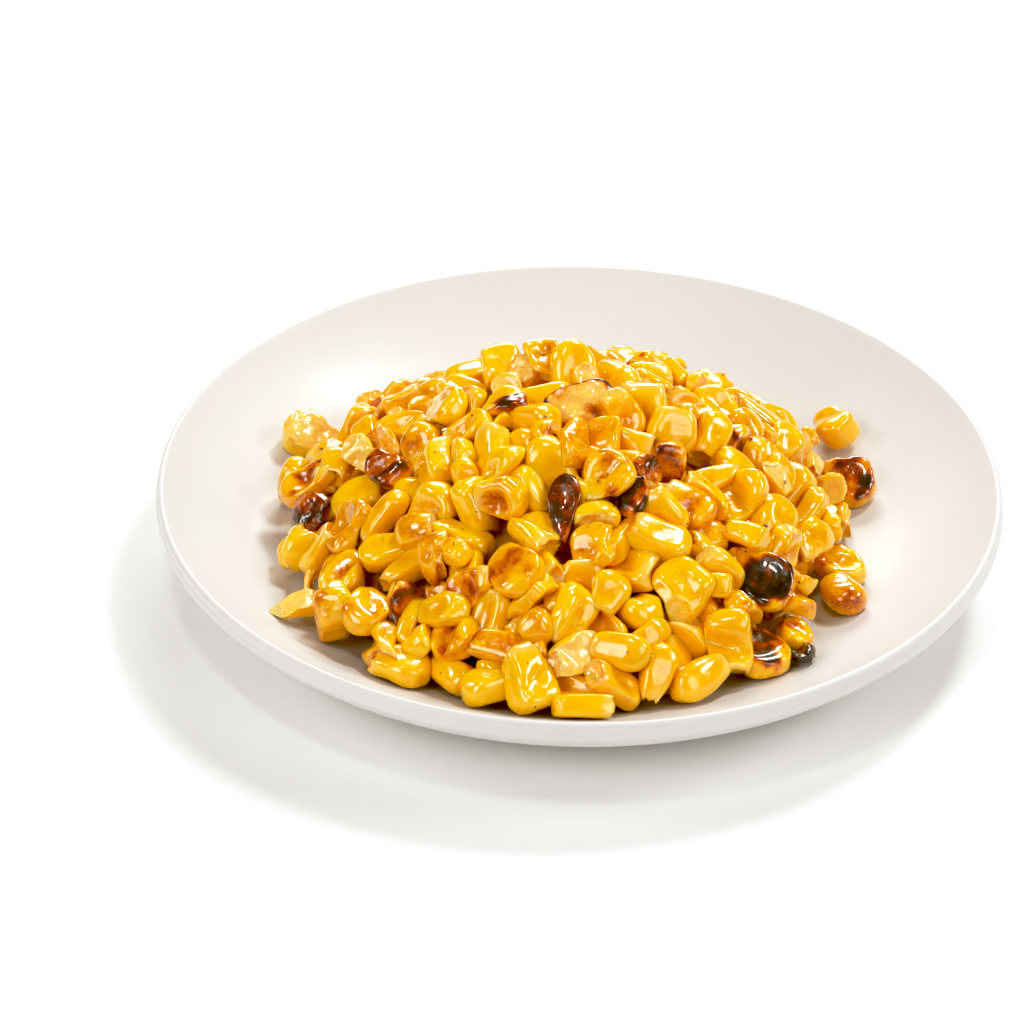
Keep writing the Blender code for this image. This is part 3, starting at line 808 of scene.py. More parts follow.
# In each line: form, browning, x and y in mm, heading, pitch and roll in degrees, then length, breadth and
# thickness in mm.
STANDING_OUT = """
# along the back
block yellow -16 14 100 45 0 10 9.5 6.5
plump yellow -23 19 200 0 -30 11 8.5 6
valley yellow -24 8 150 20 0 11 8 6
sliced pale -23 -2 60 10 -30 9.5 6.5 5.5
cup amber -8 11 95 45 0 10 8.5 5.5
tooth yellow -1 7 105 48 5 11.5 9.5 6
sliced yellow 1 2 100 20 0 7 5.5 4.5
cup yellow 7 6 60 30 0 12 11 7
shard seared 12 20 60 70 0 7 3.5 2
plump yellow 13 17 150 20 0 10 8 6
block yellow 16 10 175 10 -35 12.5 8.5 8
sliced yellow 18 19 0 0 0 9 7 5
tooth yellow 13 -6 -80 -45 0 11 10 6
valley yellow 23 2 -35 0 20 13 8 6
cup yellow 28 7 150 15 -20 10.5 8 6
log yellow 37 14 -20 0 0 13.5 7.5 6.5
hull amber 33 2 60 30 0 9 7 3
chip yellow 37 5 0 0 0 6 5 4.5
hull pale 42 7 80 40 0 9 7 3
sliced yellow 46 13 100 20 0 9 6 5
sliced pale 48 8 90 20 0 8 5 4
# left side, from the back to the front
plump yellow -31 20 90 30 0 9 10 6
block yellow -36 16 180 0 0 8 6.5 6
tooth yellow -44 9 90 30 0 10 7 5
valley yellow -36 3 180 5 -15 13 9 6.5
sliced yellow -28 -1 -35 0 10 13 9 5.5
sliced amber -40 -5 120 20 0 10 8.5 5.5
sliced pale -44 -6 130 10 0 9 7 5.5
tooth yellow -48 -4 60 0 0 8 7 5
sliced pale -51 0 20 0 0 9 7 4
cup toasted -54 -5 190 0 0 12 9 5.5
crumpled brown -38 -13 -60 0 0 12 7.5 5
plump toasted -32 -11 90 30 0 10 9 6
tooth yellow -29 -18 -95 -15 0 10 10 6.5
sliced yellow -24 -18 -20 0 0 9 7.5 6
valley yellow -22 -11 0 0 0 10.5 8 6
plump yellow -33 -20 100 0 0 9 7 6
plump yellow -43 -15 190 5 0 12 10.5 6.5
shrivelled brown -53 -14 150 0 0 10 9 5.5
folded yellow -56 -20 200 0 0 10 8 5.5
crumpled amber -45 -24 40 0 0 10 8 5
tooth yellow -51 -24 185 0 5 11 9.5 5.5
valley spotted -46 -33 -100 0 -10 10.5 9.5 6
crumpled amber -47 -43 -60 0 0 12 10.5 7
sliced yellow -53 -38 20 0 0 9.5 6.5 5
folded toasted -40 -47 -90 20 -20 11 9.5 6.5
log yellow -38 -25 20 5 0 12 6 5.5
tooth yellow -29 -28 15 10 -15 12 10 7
plump amber -31 -33 180 0 20 9 8 6
plump yellow -37 -33 185 0 0 10 8 6
log yellow -32 -38 30 5 0 13 6 5.5
log yellow -23 -36 -30 0 10 13 7 6.5
log yellow -24 -40 -45 0 0 10 5.5 5
tooth pale -21 -42 90 0 0 7.5 7.5 5.5
hull amber -27 -41 70 0 0 9 6.5 3
plump yellow -19 -31 110 5 0 11.5 9 6.5
# front left
cup seared -33 -46 70 10 40 9.5 7 5.5
log yellow -31 -49 -130 0 60 11 5 4.5
cup amber -26 -46 -60 20 0 8.5 7.5 5.5
cup toasted -20 -48 200 0 -10 10 8 5.5
crumpled yellow -25 -51 10 10 0 10 7 5
valley toasted -23 -56 -90 0 0 10 10 6
sliced yellow -29 -54 -110 10 20 10.5 7 4.5
folded amber -36 -54 165 0 10 11 8.5 6
tooth yellow -32 -58 -15 0 0 11 9 6
log yellow -24 -60 -15 0 10 12 6.5 6
cup yellow -16 -62 -60 30 20 9 8 6
log yellow -16 -66 180 0 70 11 7.5 6
plump amber -14 -60 -20 0 0 11 7 5.5
valley yellow -16 -54 -115 0 0 13 9.5 6.5
# the middle, from the top down
sliced yellow -15 1 90 30 0 7 7 5
sliced yellow -12 8 60 20 0 7 6 5
log yellow -7 -3 0 0 0 12.5 7.5 7
folded yellow -15 -6 20 0 -20 10 7 5
shard brown -14 -9 0 0 0 7 5 3
valley yellow -18 -11 10 0 0 11 6 5
tooth yellow -9 -12 -50 -10 0 11 7 6
halved edged 0 -9 15 5 10 13.5 10 8.5
cup yellow 8 -10 -60 0 0 10 8 6
crumpled amber 0 -18 60 0 0 9 8 6
hull amber 5 -17 100 30 0 9 7 3
tooth yellow 9 -17 170 0 -20 12 8.5 6
plump amber 9 -22 -20 0 0 9 7 5
tooth yellow -11 -21 70 10 0 12.5 8.5 6.5
sliced spotted -6 -19 80 20 0 9 6 5
ringed yellow -17 -20 -105 -10 0 12 8.5 6.5
log yellow -21 -26 100 0 0 9 5 5
tooth yellow -5 -27 105 10 0 12 9 6.5
hull yellow -16 -28 50 0 0 11 7 4
plump yellow -10 -30 100 10 0 10 8 6.5
cup toasted -15 -32 0 0 0 10 8.5 6
tooth yellow 1 -29 0 0 0 9 7 5
hull amber -2 -23 -80 0 0 9 6 3
valley yellow 5 -25 -15 0 0 12.5 8 5.5
crumpled toasted 6 -29 70 0 0 10 9 5
plump yellow 10 -29 80 0 0 7 6 5
leaf burnt -3 -35 80 14 0 14 6.6 2
sliced yellow 4 -36 100 20 0 9 9.5 6
hull amber 4 -41 -100 0 0 10 8.5 3.5
log yellow 8 -38 -110 0 0 12 6 5.5
valley yellow -8 -39 110 5 20 11 9.5 6.5
tooth yellow -7 -45 130 0 10 12 7.5 6
bowl toasted -12 -47 -55 0 0 12.5 10.5 6
tooth yellow 1 -47 -88 0 0 11 10.5 6.5
tooth yellow 10 -43 160 0 0 12 10.5 6
crumpled charred 11 -31 -110 10 0 8 6.2 4.5
ringed yellow 16 -32 -65 0 0 11 9.5 6
block yellow 16 -38 -30 0 0 12 8 6
plump yellow -3 -52 -60 10 0 8 7.5 6
crumpled pale -9 -52 20 0 0 10 8 4.5
plump yellow 6 -50 60 0 0 9 8 6
sliced yellow 11 -49 -30 0 0 11.5 9.5 6.5
plump yellow -10 -57 -45 0 0 9.5 8 6.5
block amber -6 -56 -90 0 0 9.5 7 6
hull pale -2 -55 70 0 0 12 8 4
valley amber 5 -54 -60 0 25 13 6.5 5
sliced yellow 1 -57 175 0 0 10.5 7 5
# front
sliced pale 0 -62 30 0 0 11 8.5 7
tooth yellow 0 -66 165 0 0 13 7.5 6
log yellow 1 -69 180 0 0 11 6 5
crumpled pale -8 -67 -60 0 0 13 9 6.5
hull toasted -8 -62 120 0 0 8 5 2.5
cup yellow 13 -55 60 0 -15 12 10.5 6.5
log yellow 8 -61 -5 0 0 11.5 7.5 6
tooth yellow 8 -65 -20 0 0 12 7.5 5.5
log yellow 15 -62 90 0 0 11 7 6
plump yellow 20 -56 -70 0 0 11.5 10.5 7
sliced yellow 21 -51 -20 0 0 11 7 5.5
log yellow 23 -59 190 0 0 13 7.5 6
valley yellow 29 -53 115 0 0 12 9.5 6
bowl scorched 36 -49 -50 4 14 12.5 10.5 6.5
shrivelled black 41 -46 -30 0 0 6.5 5.5 3.6
# right side, from the top down
cup amber 23 -6 60 20 0 11 10 6
tooth yellow 19 -13 -85 -45 0 9 10.5 6
plump yellow 27 -6 70 40 0 11 8 6
crumpled seared 32 -4 120 20 0 8 6.5 5
valley yellow 37 -4 110 35 0 10.5 10.5 6.5
plump yellow 40 -7 -80 -20 0 8 7.5 6
log yellow 31 -12 -30 0 0 11 7 6
log yellow 26 -18 -145 0 0 12 6 5.5
slab seared 18 -22 100 58 0 13 6.8 3.4
crumpled roasted 13 -24 30 0 0 7 6 4.5
tooth yellow 43 -5 60 35 0 12 10.5 6.5
sliced pale 39 -11 -60 0 0 7.5 6 4
plump yellow 46 -10 -70 0 0 11 8 6
sliced pale 50 -8 -100 0 0 11.5 6 5
valley yellow 31 -21 50 5 0 14 9 6
tooth yellow 24 -24 -40 0 0 10.5 8 5.5
sliced yellow 17 -27 10 0 0 10 7 5
plump toasted 21 -28 -20 0 0 11 8 5.5
log yellow 24 -31 0 0 0 11 7 6
log yellow 26 -35 0 0 0 11.5 6 5.5
plump yellow 27 -39 -10 0 0 10 8 5.5
log yellow 25 -42 -25 0 0 12 6 5.5
tooth yellow 27 -46 -25 0 0 12 9 6.5
crumpled pale 19 -46 60 0 0 11 10 5
cup yellow 33 -30 180 10 0 10.5 8.5 6.5
ringed yellow 39 -22 110 0 0 11.5 11 6.5
tooth spotted 40 -27 -60 0 0 10 8 5.5
crumpled yellow 46 -20 60 0 0 10 8.5 5
cup spotted 52 -17 -60 0 0 11 9.5 5.5
bowl scorched 36 -37 -15 22 16 12.5 12 6
sliced yellow 43 -32 -80 0 0 8.5 6.5 5
hull amber 43 -37 20 0 0 7 6 4
log spotted 31 -44 185 0 0 10 6.5 5
block toasted 42 -43 -80 0 0 7.5 7 5.5
"""

DARK = ("brown", "edged", "seared", "scorched", "tipped", "charred", "black", "burnt", "roasted", "toasted")
DARK_WEIGHT = 4.0  # against 1 for the others: the dark ones hardly give way
CRINKLED = ("crumpled", "hull", "folded")
UPRIGHT = 40  # degrees of pitch
LIFTS = {"upright": 2.8, "dark": 1.4, "crinkled": 1.0, "other": (-1.2, 1.4)}  # mm


def lift_of(form, manner, pitch, rng):
    """How far in mm a kernel's upper side lies over the heap's outline, so that it is seen."""
    if abs(pitch) >= UPRIGHT or manner == "scorched":
        return LIFTS["upright"]
    if manner in DARK:
        return LIFTS["dark"]
    if form in CRINKLED:
        return LIFTS["crinkled"]
    return rng.uniform(*LIFTS["other"])


def lay_standing_out(heap, rng):
    """Each lies with its upper side at its place on the heap. Those that overlap are then moved apart."""
    laid, weights = [], []
    for line in STANDING_OUT.strip().splitlines():
        if line.startswith("#"):
            continue
        form, manner, *numbers = line.split()
        x, y, heading, pitch, roll, length, breadth, thickness = map(float, numbers)
        kernel = Kernel(form, manner, rng, length=length, breadth=breadth, thickness=thickness)
        slope = heap.slope_at(x, y, 1.0)
        matrix = rotation(heading, pitch, roll, slope)
        normal = np.array(Vector((-slope[0], -slope[1], 1)).normalized())
        half = (kernel.shape @ matrix.T @ normal).max()
        i, j = cell_of(x, y)
        height = heap.target[i, j] + lift_of(form, manner, pitch, rng)
        kernel.lay(matrix, np.array([x, y, height]) - normal * half)
        laid.append(kernel)
        weights.append(DARK_WEIGHT if manner in DARK else 1.0)
    keep_apart(laid, weights, heap)
    heap.cover_with(laid, keep_free=True)
    return laid


# ---------------------------------------------------------------- meshes

def mesh_from(name, points, quads, fans, marks=None, vectors=None):
    """A mesh object from points in mm and faces, with float marks and one vector mark on its points."""
    mesh = bpy.data.meshes.new(name)
    mesh.vertices.add(len(points))
    mesh.vertices.foreach_set("co", (points * MM).astype(np.float32).ravel())
    corners = np.concatenate([quads.ravel(), fans.ravel()])
    sizes = np.concatenate([np.full(len(quads), 4), np.full(len(fans), 3)])
    mesh.loops.add(len(corners))
    mesh.loops.foreach_set("vertex_index", corners.astype(np.int32))
    mesh.polygons.add(len(sizes))
    mesh.polygons.foreach_set("loop_start", (np.cumsum(sizes) - sizes).astype(np.int32))
    mesh.update(calc_edges=True)
    mesh.validate()
    for key, values in (marks or {}).items():
        mesh.attributes.new(key, "FLOAT", "POINT").data.foreach_set("value", values.astype(np.float32))
    if vectors is not None:
        layer = mesh.attributes.new("grain", "FLOAT_VECTOR", "POINT")
        layer.data.foreach_set("vector", vectors.astype(np.float32).ravel())
    mesh.shade_smooth()
    made = bpy.data.objects.new(name, mesh)
    bpy.context.scene.collection.objects.link(made)
    return made


def dress(piece, look, slot, *nodes):
    """Gives a piece its material. It rides on the part and stands for the nodes."""
    piece.data.materials.append(look)
    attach(piece, "root")
    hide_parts(*nodes)


MARKS = ("brown", "flesh", "along", "tone", "creased", "dent")  # kept for the material


def join_kernels(name, kernels, look, slot, *nodes):
    """One piece made of these kernels."""
    grid = kernels[0].grid
    starts = np.arange(len(kernels))[:, None, None] * len(kernels[0].shape)
    all_quads = (grid.quads[None] + starts).reshape(-1, 4)
    all_fans = (grid.fans[None] + starts).reshape(-1, 3)
    marks = {key: np.concatenate([k.marks[key] for k in kernels]) for key in MARKS}
    grain = np.concatenate([k.shape + k.grain for k in kernels])
    made = mesh_from(name, np.concatenate([k.points() for k in kernels]), all_quads, all_fans, marks, grain)
    dress(made, look, slot, *nodes)


CORE_RINGS, CORE_SPOKES = 24, 64
CORE_DEPTH = 11.0  # of the core under the heap's upper side, in mm
CORE_INSET = 9.0  # of its edge inside the heap's outline
CORE_OVER_PLATE = 0.3
CORE_EDGE_OVER_PLATE, CORE_BOTTOM_OVER_PLATE = 0.05, 0.4


def make_core(heap_top, plate_top, look):
    """What lies inside the heap: a plain mound, far enough under the kernels to show only between them, where
    its dark material is painted shade.
    """
    share = np.linspace(0, 1, CORE_RINGS + 1)[1:]
    angle = np.arange(CORE_SPOKES) * 2 * np.pi / CORE_SPOKES
    low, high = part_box("corn_heap")
    middle = (low + high) / 2 / MM
    reach = min(high.x - low.x, high.y - low.y) / MM / 2 - CORE_INSET
    x = middle.x + reach * np.outer(share, np.cos(angle))
    y = middle.y + reach * np.outer(share, np.sin(angle))
    i, j = ((x + SPAN) / CELL).astype(int), ((y + SPAN) / CELL).astype(int)
    top = np.maximum(heap_top[i, j] - CORE_DEPTH, plate_top[i, j] + CORE_OVER_PLATE)
    upper = np.stack([x, y, top], -1).reshape(-1, 3)
    lower = np.stack([x[-1], y[-1], plate_top[i[-1], j[-1]] + CORE_EDGE_OVER_PLATE], -1)
    bottom = plate_top.min() + CORE_BOTTOM_OVER_PLATE
    ends = np.array([[middle.x, middle.y, top[0].mean()], [middle.x, middle.y, bottom]])
    points = np.concatenate([upper, lower, ends])
    made = mesh_from("heap_core", points, *ring_faces(CORE_RINGS + 1, CORE_SPOKES))
    dress(made, look, "corn", "corn_heap")
    return made


# ---------------------------------------------------------------- plate

# Sizes in mm.
FLOOR_TOP = 5.5
FLOOR_RADIUS = 46.0
WALL_RADIUS = 80.9
RISE = 14.12
EDGE_RADIUS = 0.75
BEAD_RADIUS = 1.6
BEAD_Z = 17.1
BEAD_ANGLE = 38  # the bead spans this much up and down, in degrees
UNDERSIDE_ANGLE = math.radians(52)  # how steeply the underside leaves the bead
FOOT_OUTER, FOOT_INNER = 47.0, 42.0
FOOT_ROUNDING = 0.7
FOOT_RECESS = 1.8
UNDERSIDE_Z = 3.0
PLATE_SEGMENTS = 192


def arc(centre, radius, start, end, steps):
    """Points on an arc, angles in degrees, both ends included."""
    angles = np.radians(np.linspace(start, end, steps + 1))
    return [(centre[0] + radius * math.cos(a), centre[1] + radius * math.sin(a)) for a in angles]


def plate_section(radius):
    """Half section in mm as (radius, height): from the floor's middle over the rim to the middle below."""
    points = [(r, FLOOR_TOP) for r in np.linspace(0.5, FLOOR_RADIUS, 12)]
    for share in np.linspace(0, 1, 31)[1:-1]:
        points.append((FLOOR_RADIUS + (WALL_RADIUS - FLOOR_RADIUS) * share, FLOOR_TOP + RISE * share**2))
    slope = math.atan(2 * RISE / (WALL_RADIUS - FLOOR_RADIUS))
    edge = (WALL_RADIUS + EDGE_RADIUS * math.sin(slope), FLOOR_TOP + RISE - EDGE_RADIUS * math.cos(slope))
    points += arc(edge, EDGE_RADIUS, 90 + math.degrees(slope), -12, 10)
    points += arc((radius - BEAD_RADIUS, BEAD_Z), BEAD_RADIUS, BEAD_ANGLE, -BEAD_ANGLE, 10)
    start = Vector(points[-1])
    end = Vector((FOOT_OUTER, UNDERSIDE_Z))
    breadth = start.x - end.x
    leaves = Vector((-math.cos(UNDERSIDE_ANGLE), -math.sin(UNDERSIDE_ANGLE)))
    handle_a = start + leaves * 0.33 * breadth
    handle_b = end + Vector((0.43, 0.035)) * breadth
    for t in np.linspace(0, 1, 17)[1:]:
        u = 1 - t
        points.append(tuple(start * u**3 + handle_a * 3 * t * u**2 + handle_b * 3 * t * t * u + end * t**3))
    r = FOOT_ROUNDING
    points += arc((FOOT_OUTER - r, r), r, 0, -90, 5) + arc((FOOT_INNER + r, r), r, -90, -180, 5)
    points += [(FOOT_INNER, FOOT_RECESS - 0.2), (FOOT_INNER - 0.2, FOOT_RECESS)]
    points += [(x, FOOT_RECESS) for x in np.linspace(FOOT_INNER - 2, 0.5, 8)]
    return np.array(points)


def make_plate(look):
    section = plate_section(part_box("plate")[1].x / MM)
    angle = np.arange(PLATE_SEGMENTS) * 2 * np.pi / PLATE_SEGMENTS
    rings = np.stack([
        np.outer(section[:, 0], np.cos(angle)), np.outer(section[:, 0], np.sin(angle)),
        np.repeat(section[:, 1:], PLATE_SEGMENTS, axis=1),
    ], -1).reshape(-1, 3)
    points = np.concatenate([rings, [[0, 0, section[0, 1]], [0, 0, section[-1, 1]]]])
    made = mesh_from("glazed_plate", points, *ring_faces(len(section), PLATE_SEGMENTS))
    dress(made, look, "plate_glaze", "plate")


# ---------------------------------------------------------------- materials

class Shader:
    """A short way to build a material's nodes. An input is given by its name, or by _ and its number."""

    def __init__(self, name):
        self.material = bpy.data.materials.new(name)
        self.material.use_nodes = True
        self.tree = self.material.node_tree
        self.surface = self.tree.nodes["Principled BSDF"]

    def add(self, kind, settings=None, **inputs):
        made = self.tree.nodes.new("ShaderNode" + kind)
        for key, value in (settings or {}).items():
            setattr(made, key, value)
        for key, value in inputs.items():
            self.put(made, key, value)
        return made

    def put(self, made, key, value):
        socket = made.inputs[int(key[1:])] if key[1:].isdigit() else made.inputs[key.replace("_", " ")]
        if isinstance(value, bpy.types.NodeSocket):
            self.tree.links.new(value, socket)
        else:
            socket.default_value = value

    def mark(self, name, output="Fac"):
        return self.add("Attribute", {"attribute_name": name, "attribute_type": "GEOMETRY"}).outputs[output]

    def math(self, operation, a, b, c=0.0):
        return self.add("Math", {"operation": operation}, _0=a, _1=b, _2=c).outputs[0]

    def mix(self, share, a, b, blend="MIX"):
        return self.add("Mix", {"data_type": "RGBA", "blend_type": blend}, _0=share, _6=a, _7=b).outputs[2]

    def ramp(self, value, *stops):
        made = self.add("ValToRGB", Fac=value)
        ramp = made.color_ramp
        while len(ramp.elements) < len(stops):
            ramp.elements.new(0.5)
        for element, (position, colour) in zip(ramp.elements, stops):
            element.position = position
            element.color = (*colour, 1)
        return made.outputs[0]

    def range(self, value, low, high, to_low=0.0, to_high=1.0):
        """A smooth step from one number to the other while the value goes from low to high."""
        settings = {"interpolation_type": "SMOOTHSTEP"}
        return self.add("MapRange", settings, _0=value, _1=low, _2=high, _3=to_low, _4=to_high).outputs[0]

    def noise(self, vector, scale, detail=2.0, roughness=0.5):
        return self.add("TexNoise", Vector=vector, Scale=scale, Detail=detail, Roughness=roughness).outputs[0]

    def bump(self, height, strength, distance):
        """Bumps of this height, with distance in mm."""
        made = self.add("Bump", Height=height, Strength=strength, Distance=distance * MM)
        self.put(self.surface, "Normal", made.outputs[0])


ORANGE_SKIN, LEMON_SKIN = (0.94, 0.475, 0.002, 1), (0.94, 0.540, 0.003, 1)
# DEEP_PATCH gives random deeper patches. The dent colour is partly the flesh's own amber through the thin
# skin, partly painted shade in the hollow.
DEEP_PATCH, DENT_AMBER_AND_PAINTED_SHADE = (0.95, 0.42, 0.001, 1), (0.90, 0.38, 0.003, 1)
PALE_END = (0.96, 0.64, 0.24, 1)
CREAM, DEEP_CREAM = (0.97, 0.66, 0.30, 1), (0.95, 0.52, 0.09, 1)
CHAR, SOOT, SPECK = (0.055, 0.022, 0.010, 1), (0.012, 0.008, 0.006, 1), (0.02, 0.014, 0.012, 1)
BROWNED = (  # how far it is browned, and the tint that goes over the fresh colour
    (0.0, (1.0, 1.0, 1.0)),
    (0.22, (0.93, 0.84, 0.64)),
    (0.36, (0.76, 0.54, 0.25)),
    (0.50, (0.54, 0.23, 0.08)),
    (0.64, (0.30, 0.075, 0.02)),
    (0.80, (0.075, 0.018, 0.006)),
    (1.0, (0.022, 0.010, 0.006)),
)


def corn_material():
    """Wet corn: yellow skin, paler at the cut end, deeper amber in the dents (partly painted shade), creamy
    flesh, browned and blackened where it is marked.
    """
    s = Shader("corn")
    grain = s.mark("grain", "Vector")
    brown, flesh, along, tone, creased, dent = (s.mark(name) for name in MARKS)
    coarse = s.noise(grain, 0.32, 2.0)
    fine = s.noise(grain, 1.6, 3.0, 0.6)

    skin = s.mix(tone, ORANGE_SKIN, LEMON_SKIN)
    skin = s.mix(s.range(coarse, 0.4, 0.8, 0.0, 0.2), skin, DEEP_PATCH)
    pale_end = s.range(along, 0.30, 0.0, 0.0, 0.62)
    pale_end = s.math("MULTIPLY", pale_end, s.range(coarse, 0.3, 0.7, 0.35, 1.0))
    skin = s.mix(pale_end, skin, PALE_END)
    # Deeper amber in the dents: partly the flesh's own tint, partly painted shade in the hollow.
    deep = s.math("MULTIPLY", dent, s.range(coarse, 0.3, 0.7, 0.1, 0.55))
    skin = s.mix(deep, skin, DENT_AMBER_AND_PAINTED_SHADE)
    cream = s.mix(s.range(fine, 0.3, 0.7), CREAM, DEEP_CREAM)
    fresh = s.mix(s.math("MULTIPLY", flesh, s.range(tone, 0.35, 1.0, 0.20, 0.68)), skin, cream)

    rough_edge = s.math("MULTIPLY", s.math("SUBTRACT", fine, 0.5), s.range(brown, 0.05, 0.35, 0.0, 0.5))
    burnt = s.math("ADD", brown, rough_edge)
    colour = s.mix(1.0, fresh, s.ramp(burnt, *BROWNED), "MULTIPLY")
    colour = s.mix(s.range(burnt, 0.66, 0.84), colour, CHAR)
    colour = s.mix(s.range(burnt, 0.84, 1.05), colour, SOOT)

    cells = s.add("TexVoronoi", {"feature": "F1"}, Vector=grain, Scale=0.5, Randomness=1.0)
    chosen = s.add("SeparateColor", Color=cells.outputs["Color"])
    size = s.range(chosen.outputs[0], 0.78, 1.0, 0.0, 0.12)
    speck = s.math("LESS_THAN", cells.outputs["Distance"], size)
    s.put(s.surface, "Base Color", s.mix(speck, colour, SPECK))

    s.put(s.surface, "Roughness", s.range(burnt, 0.3, 0.9, 0.22, 0.30))
    s.put(s.surface, "Subsurface Weight", s.range(burnt, 0.25, 0.7, 0.6, 0.0))
    s.put(s.surface, "Subsurface Radius", (1.0, 0.36, 0.06))
    s.put(s.surface, "Subsurface Scale", 1.7 * MM)
    s.put(s.surface, "Specular IOR Level", 0.5)
    s.put(s.surface, "Coat Weight", 1.0)
    s.put(s.surface, "Coat Roughness", 0.07)

    ripples = s.math("MULTIPLY", s.noise(grain, 0.42, 2.0, 0.45), 0.21)
    creases = s.add("TexNoise", {"noise_type": "RIDGED_MULTIFRACTAL"}, Vector=grain, Scale=0.42, Detail=2.0)
    folded = s.math("MULTIPLY_ADD", creased, 0.23, s.math("MULTIPLY_ADD", dent, 0.20, 0.015))
    folds = s.math("MULTIPLY", creases.outputs[0], folded)
    fibres = s.math("MULTIPLY", s.noise(grain, 1.1, 3.0, 0.6), s.math("MULTIPLY_ADD", flesh, 0.13, 0.05))
    height = s.math("ADD", s.math("ADD", ripples, folds), fibres)
    s.bump(height, 1.0, 1.0)
    return s.material


def painted_shade_core_material():
    """The inside of the heap, coloured as painted shade: the dark amber of corn lying in the shade between
    the kernels, uneven, wet.
    """
    s = Shader("corn_core_painted_shade")
    place = s.add("TexCoord").outputs["Object"]
    patches = s.noise(place, 160.0, 3.0)
    # Dark ambers: painted shade, standing for corn in the shade between the kernels.
    s.put(s.surface, "Base Color", s.mix(patches, (0.14, 0.04, 0.004, 1), (0.40, 0.14, 0.010, 1)))
    s.put(s.surface, "Roughness", 0.4)
    s.bump(s.noise(place, 420.0, 3.0), 0.8, 1.0)
    return s.material


def plate_material():
    """Off-white satin glaze, very slightly lighter in places, with a faint unevenness in its gloss."""
    s = Shader("plate_glaze")
    place = s.add("TexCoord").outputs["Object"]
    clouds = s.noise(place, 22.0, 3.0)
    s.put(s.surface, "Base Color", s.mix(clouds, (0.635, 0.630, 0.622, 1), (0.655, 0.650, 0.642, 1)))
    s.put(s.surface, "Roughness", s.range(s.noise(place, 60.0, 3.0), 0.3, 0.7, 0.42, 0.52))
    s.put(s.surface, "Coat Weight", 0.12)
    s.put(s.surface, "Coat Roughness", 0.18)
    s.bump(s.noise(place, 900.0, 2.0), 0.06, 0.1)
    return s.material


def floor_material():
    """Even matt white."""
    s = Shader("floor")
    place = s.add("TexCoord").outputs["Object"]
    s.put(s.surface, "Base Color", s.mix(s.noise(place, 3.0), (0.93, 0.93, 0.93, 1), (0.95, 0.95, 0.95, 1)))
    s.put(s.surface, "Roughness", 0.9)
    return s.material


# ---------------------------------------------------------------- camera, light and floor

CAMERA_DISTANCE = 0.65  # metres
CAMERA_ELEVATION = math.radians(32.84)
CAMERA_PAN = math.radians(1.144)  # to the left, so the plate stands right of the middle
CAMERA_TILT = math.radians(0.710)  # down
CAMERA_ROLL = math.radians(1.18)
CAMERA_LENS = 116.96  # mm
LOOKS_AT = Vector((0, 0, 0.0195))


def make_camera():
    data = bpy.data.cameras.new("camera")
    data.lens = CAMERA_LENS
    data.sensor_width = 36
    data.clip_start = 0.01
    camera = bpy.data.objects.new("camera", data)
    bpy.context.scene.collection.objects.link(camera)
    back = Vector((0, -math.cos(CAMERA_ELEVATION), math.sin(CAMERA_ELEVATION)))
    aim = Matrix.Rotation(math.pi / 2 - CAMERA_ELEVATION, 4, "X")
    aim = aim @ Matrix.Rotation(CAMERA_PAN, 4, "Y") @ Matrix.Rotation(-CAMERA_TILT, 4, "X")
    aim = aim @ Matrix.Rotation(CAMERA_ROLL, 4, "Z")
    camera.matrix_world = Matrix.Translation(LOOKS_AT + back * CAMERA_DISTANCE) @ aim
    bpy.context.scene.camera = camera


LIGHTS = (  # name, place and size in metres, watts, colour
    ("back", (0.0, 0.90, 0.50), (0.55, 0.36), 5.9, (1.0, 0.975, 0.94)),
    ("back_right", (0.35, 0.45, 0.85), (0.22, 0.22), 4.9, (1.0, 0.985, 0.96)),
    ("top", (-0.12, -0.28, 0.95), (0.14, 0.12), 1.05, (1.0, 0.985, 0.96)),
    ("right", (0.85, 0.0, 0.60), (0.36, 0.30), 2.85, (1.0, 0.985, 0.96)),
    ("left", (-0.85, 0.0, 0.60), (0.30, 0.30), 2.1, (1.0, 0.985, 0.96)),
    ("front_left", (-0.60, -0.70, 0.60), (0.60, 0.60), 4.7, (1.0, 0.98, 0.955)),
    ("front_right", (0.60, -0.70, 0.60), (0.60, 0.60), 2.7, (1.0, 0.98, 0.955)),
)
# The picture's tone curve, from linear light to linear light: deeper shades, a brighter middle.
TONES = ((0.06, 0.057), (0.25, 0.247), (0.5, 0.565), (0.75, 0.82))
BLACK_LEVEL = (0, 0.015, 0.034)  # deep yellows hold no blue at all, and the darkest shades are reddish
WORLD_COLOUR = (1, 0.92, 0.84, 1)
WORLD_STRENGTH = 0.065


def make_lights():
    for name, place, size, watts, colour in LIGHTS:
        data = bpy.data.lights.new(name, "AREA")
        data.shape = "ELLIPSE"
        data.size, data.size_y = size
        data.energy = watts
        data.color = colour
        light = bpy.data.objects.new(name, data)
        bpy.context.scene.collection.objects.link(light)
        light.location = place
        light.rotation_euler = (LOOKS_AT - Vector(place)).to_track_quat("-Z", "Y").to_euler()
    world = bpy.data.worlds.new("studio")
    world.use_nodes = True
    background = world.node_tree.nodes["Background"]
    background.inputs["Color"].default_value = WORLD_COLOUR
    background.inputs["Strength"].default_value = WORLD_STRENGTH
    bpy.context.scene.world = world
    view = bpy.context.scene.view_settings
    view.view_transform = "Standard"
    view.use_curve_mapping = True
    curves = view.curve_mapping
    for light_in, light_out in TONES:
        curves.curves[3].points.new(light_in, light_out)
    curves.black_level = BLACK_LEVEL
    curves.update()


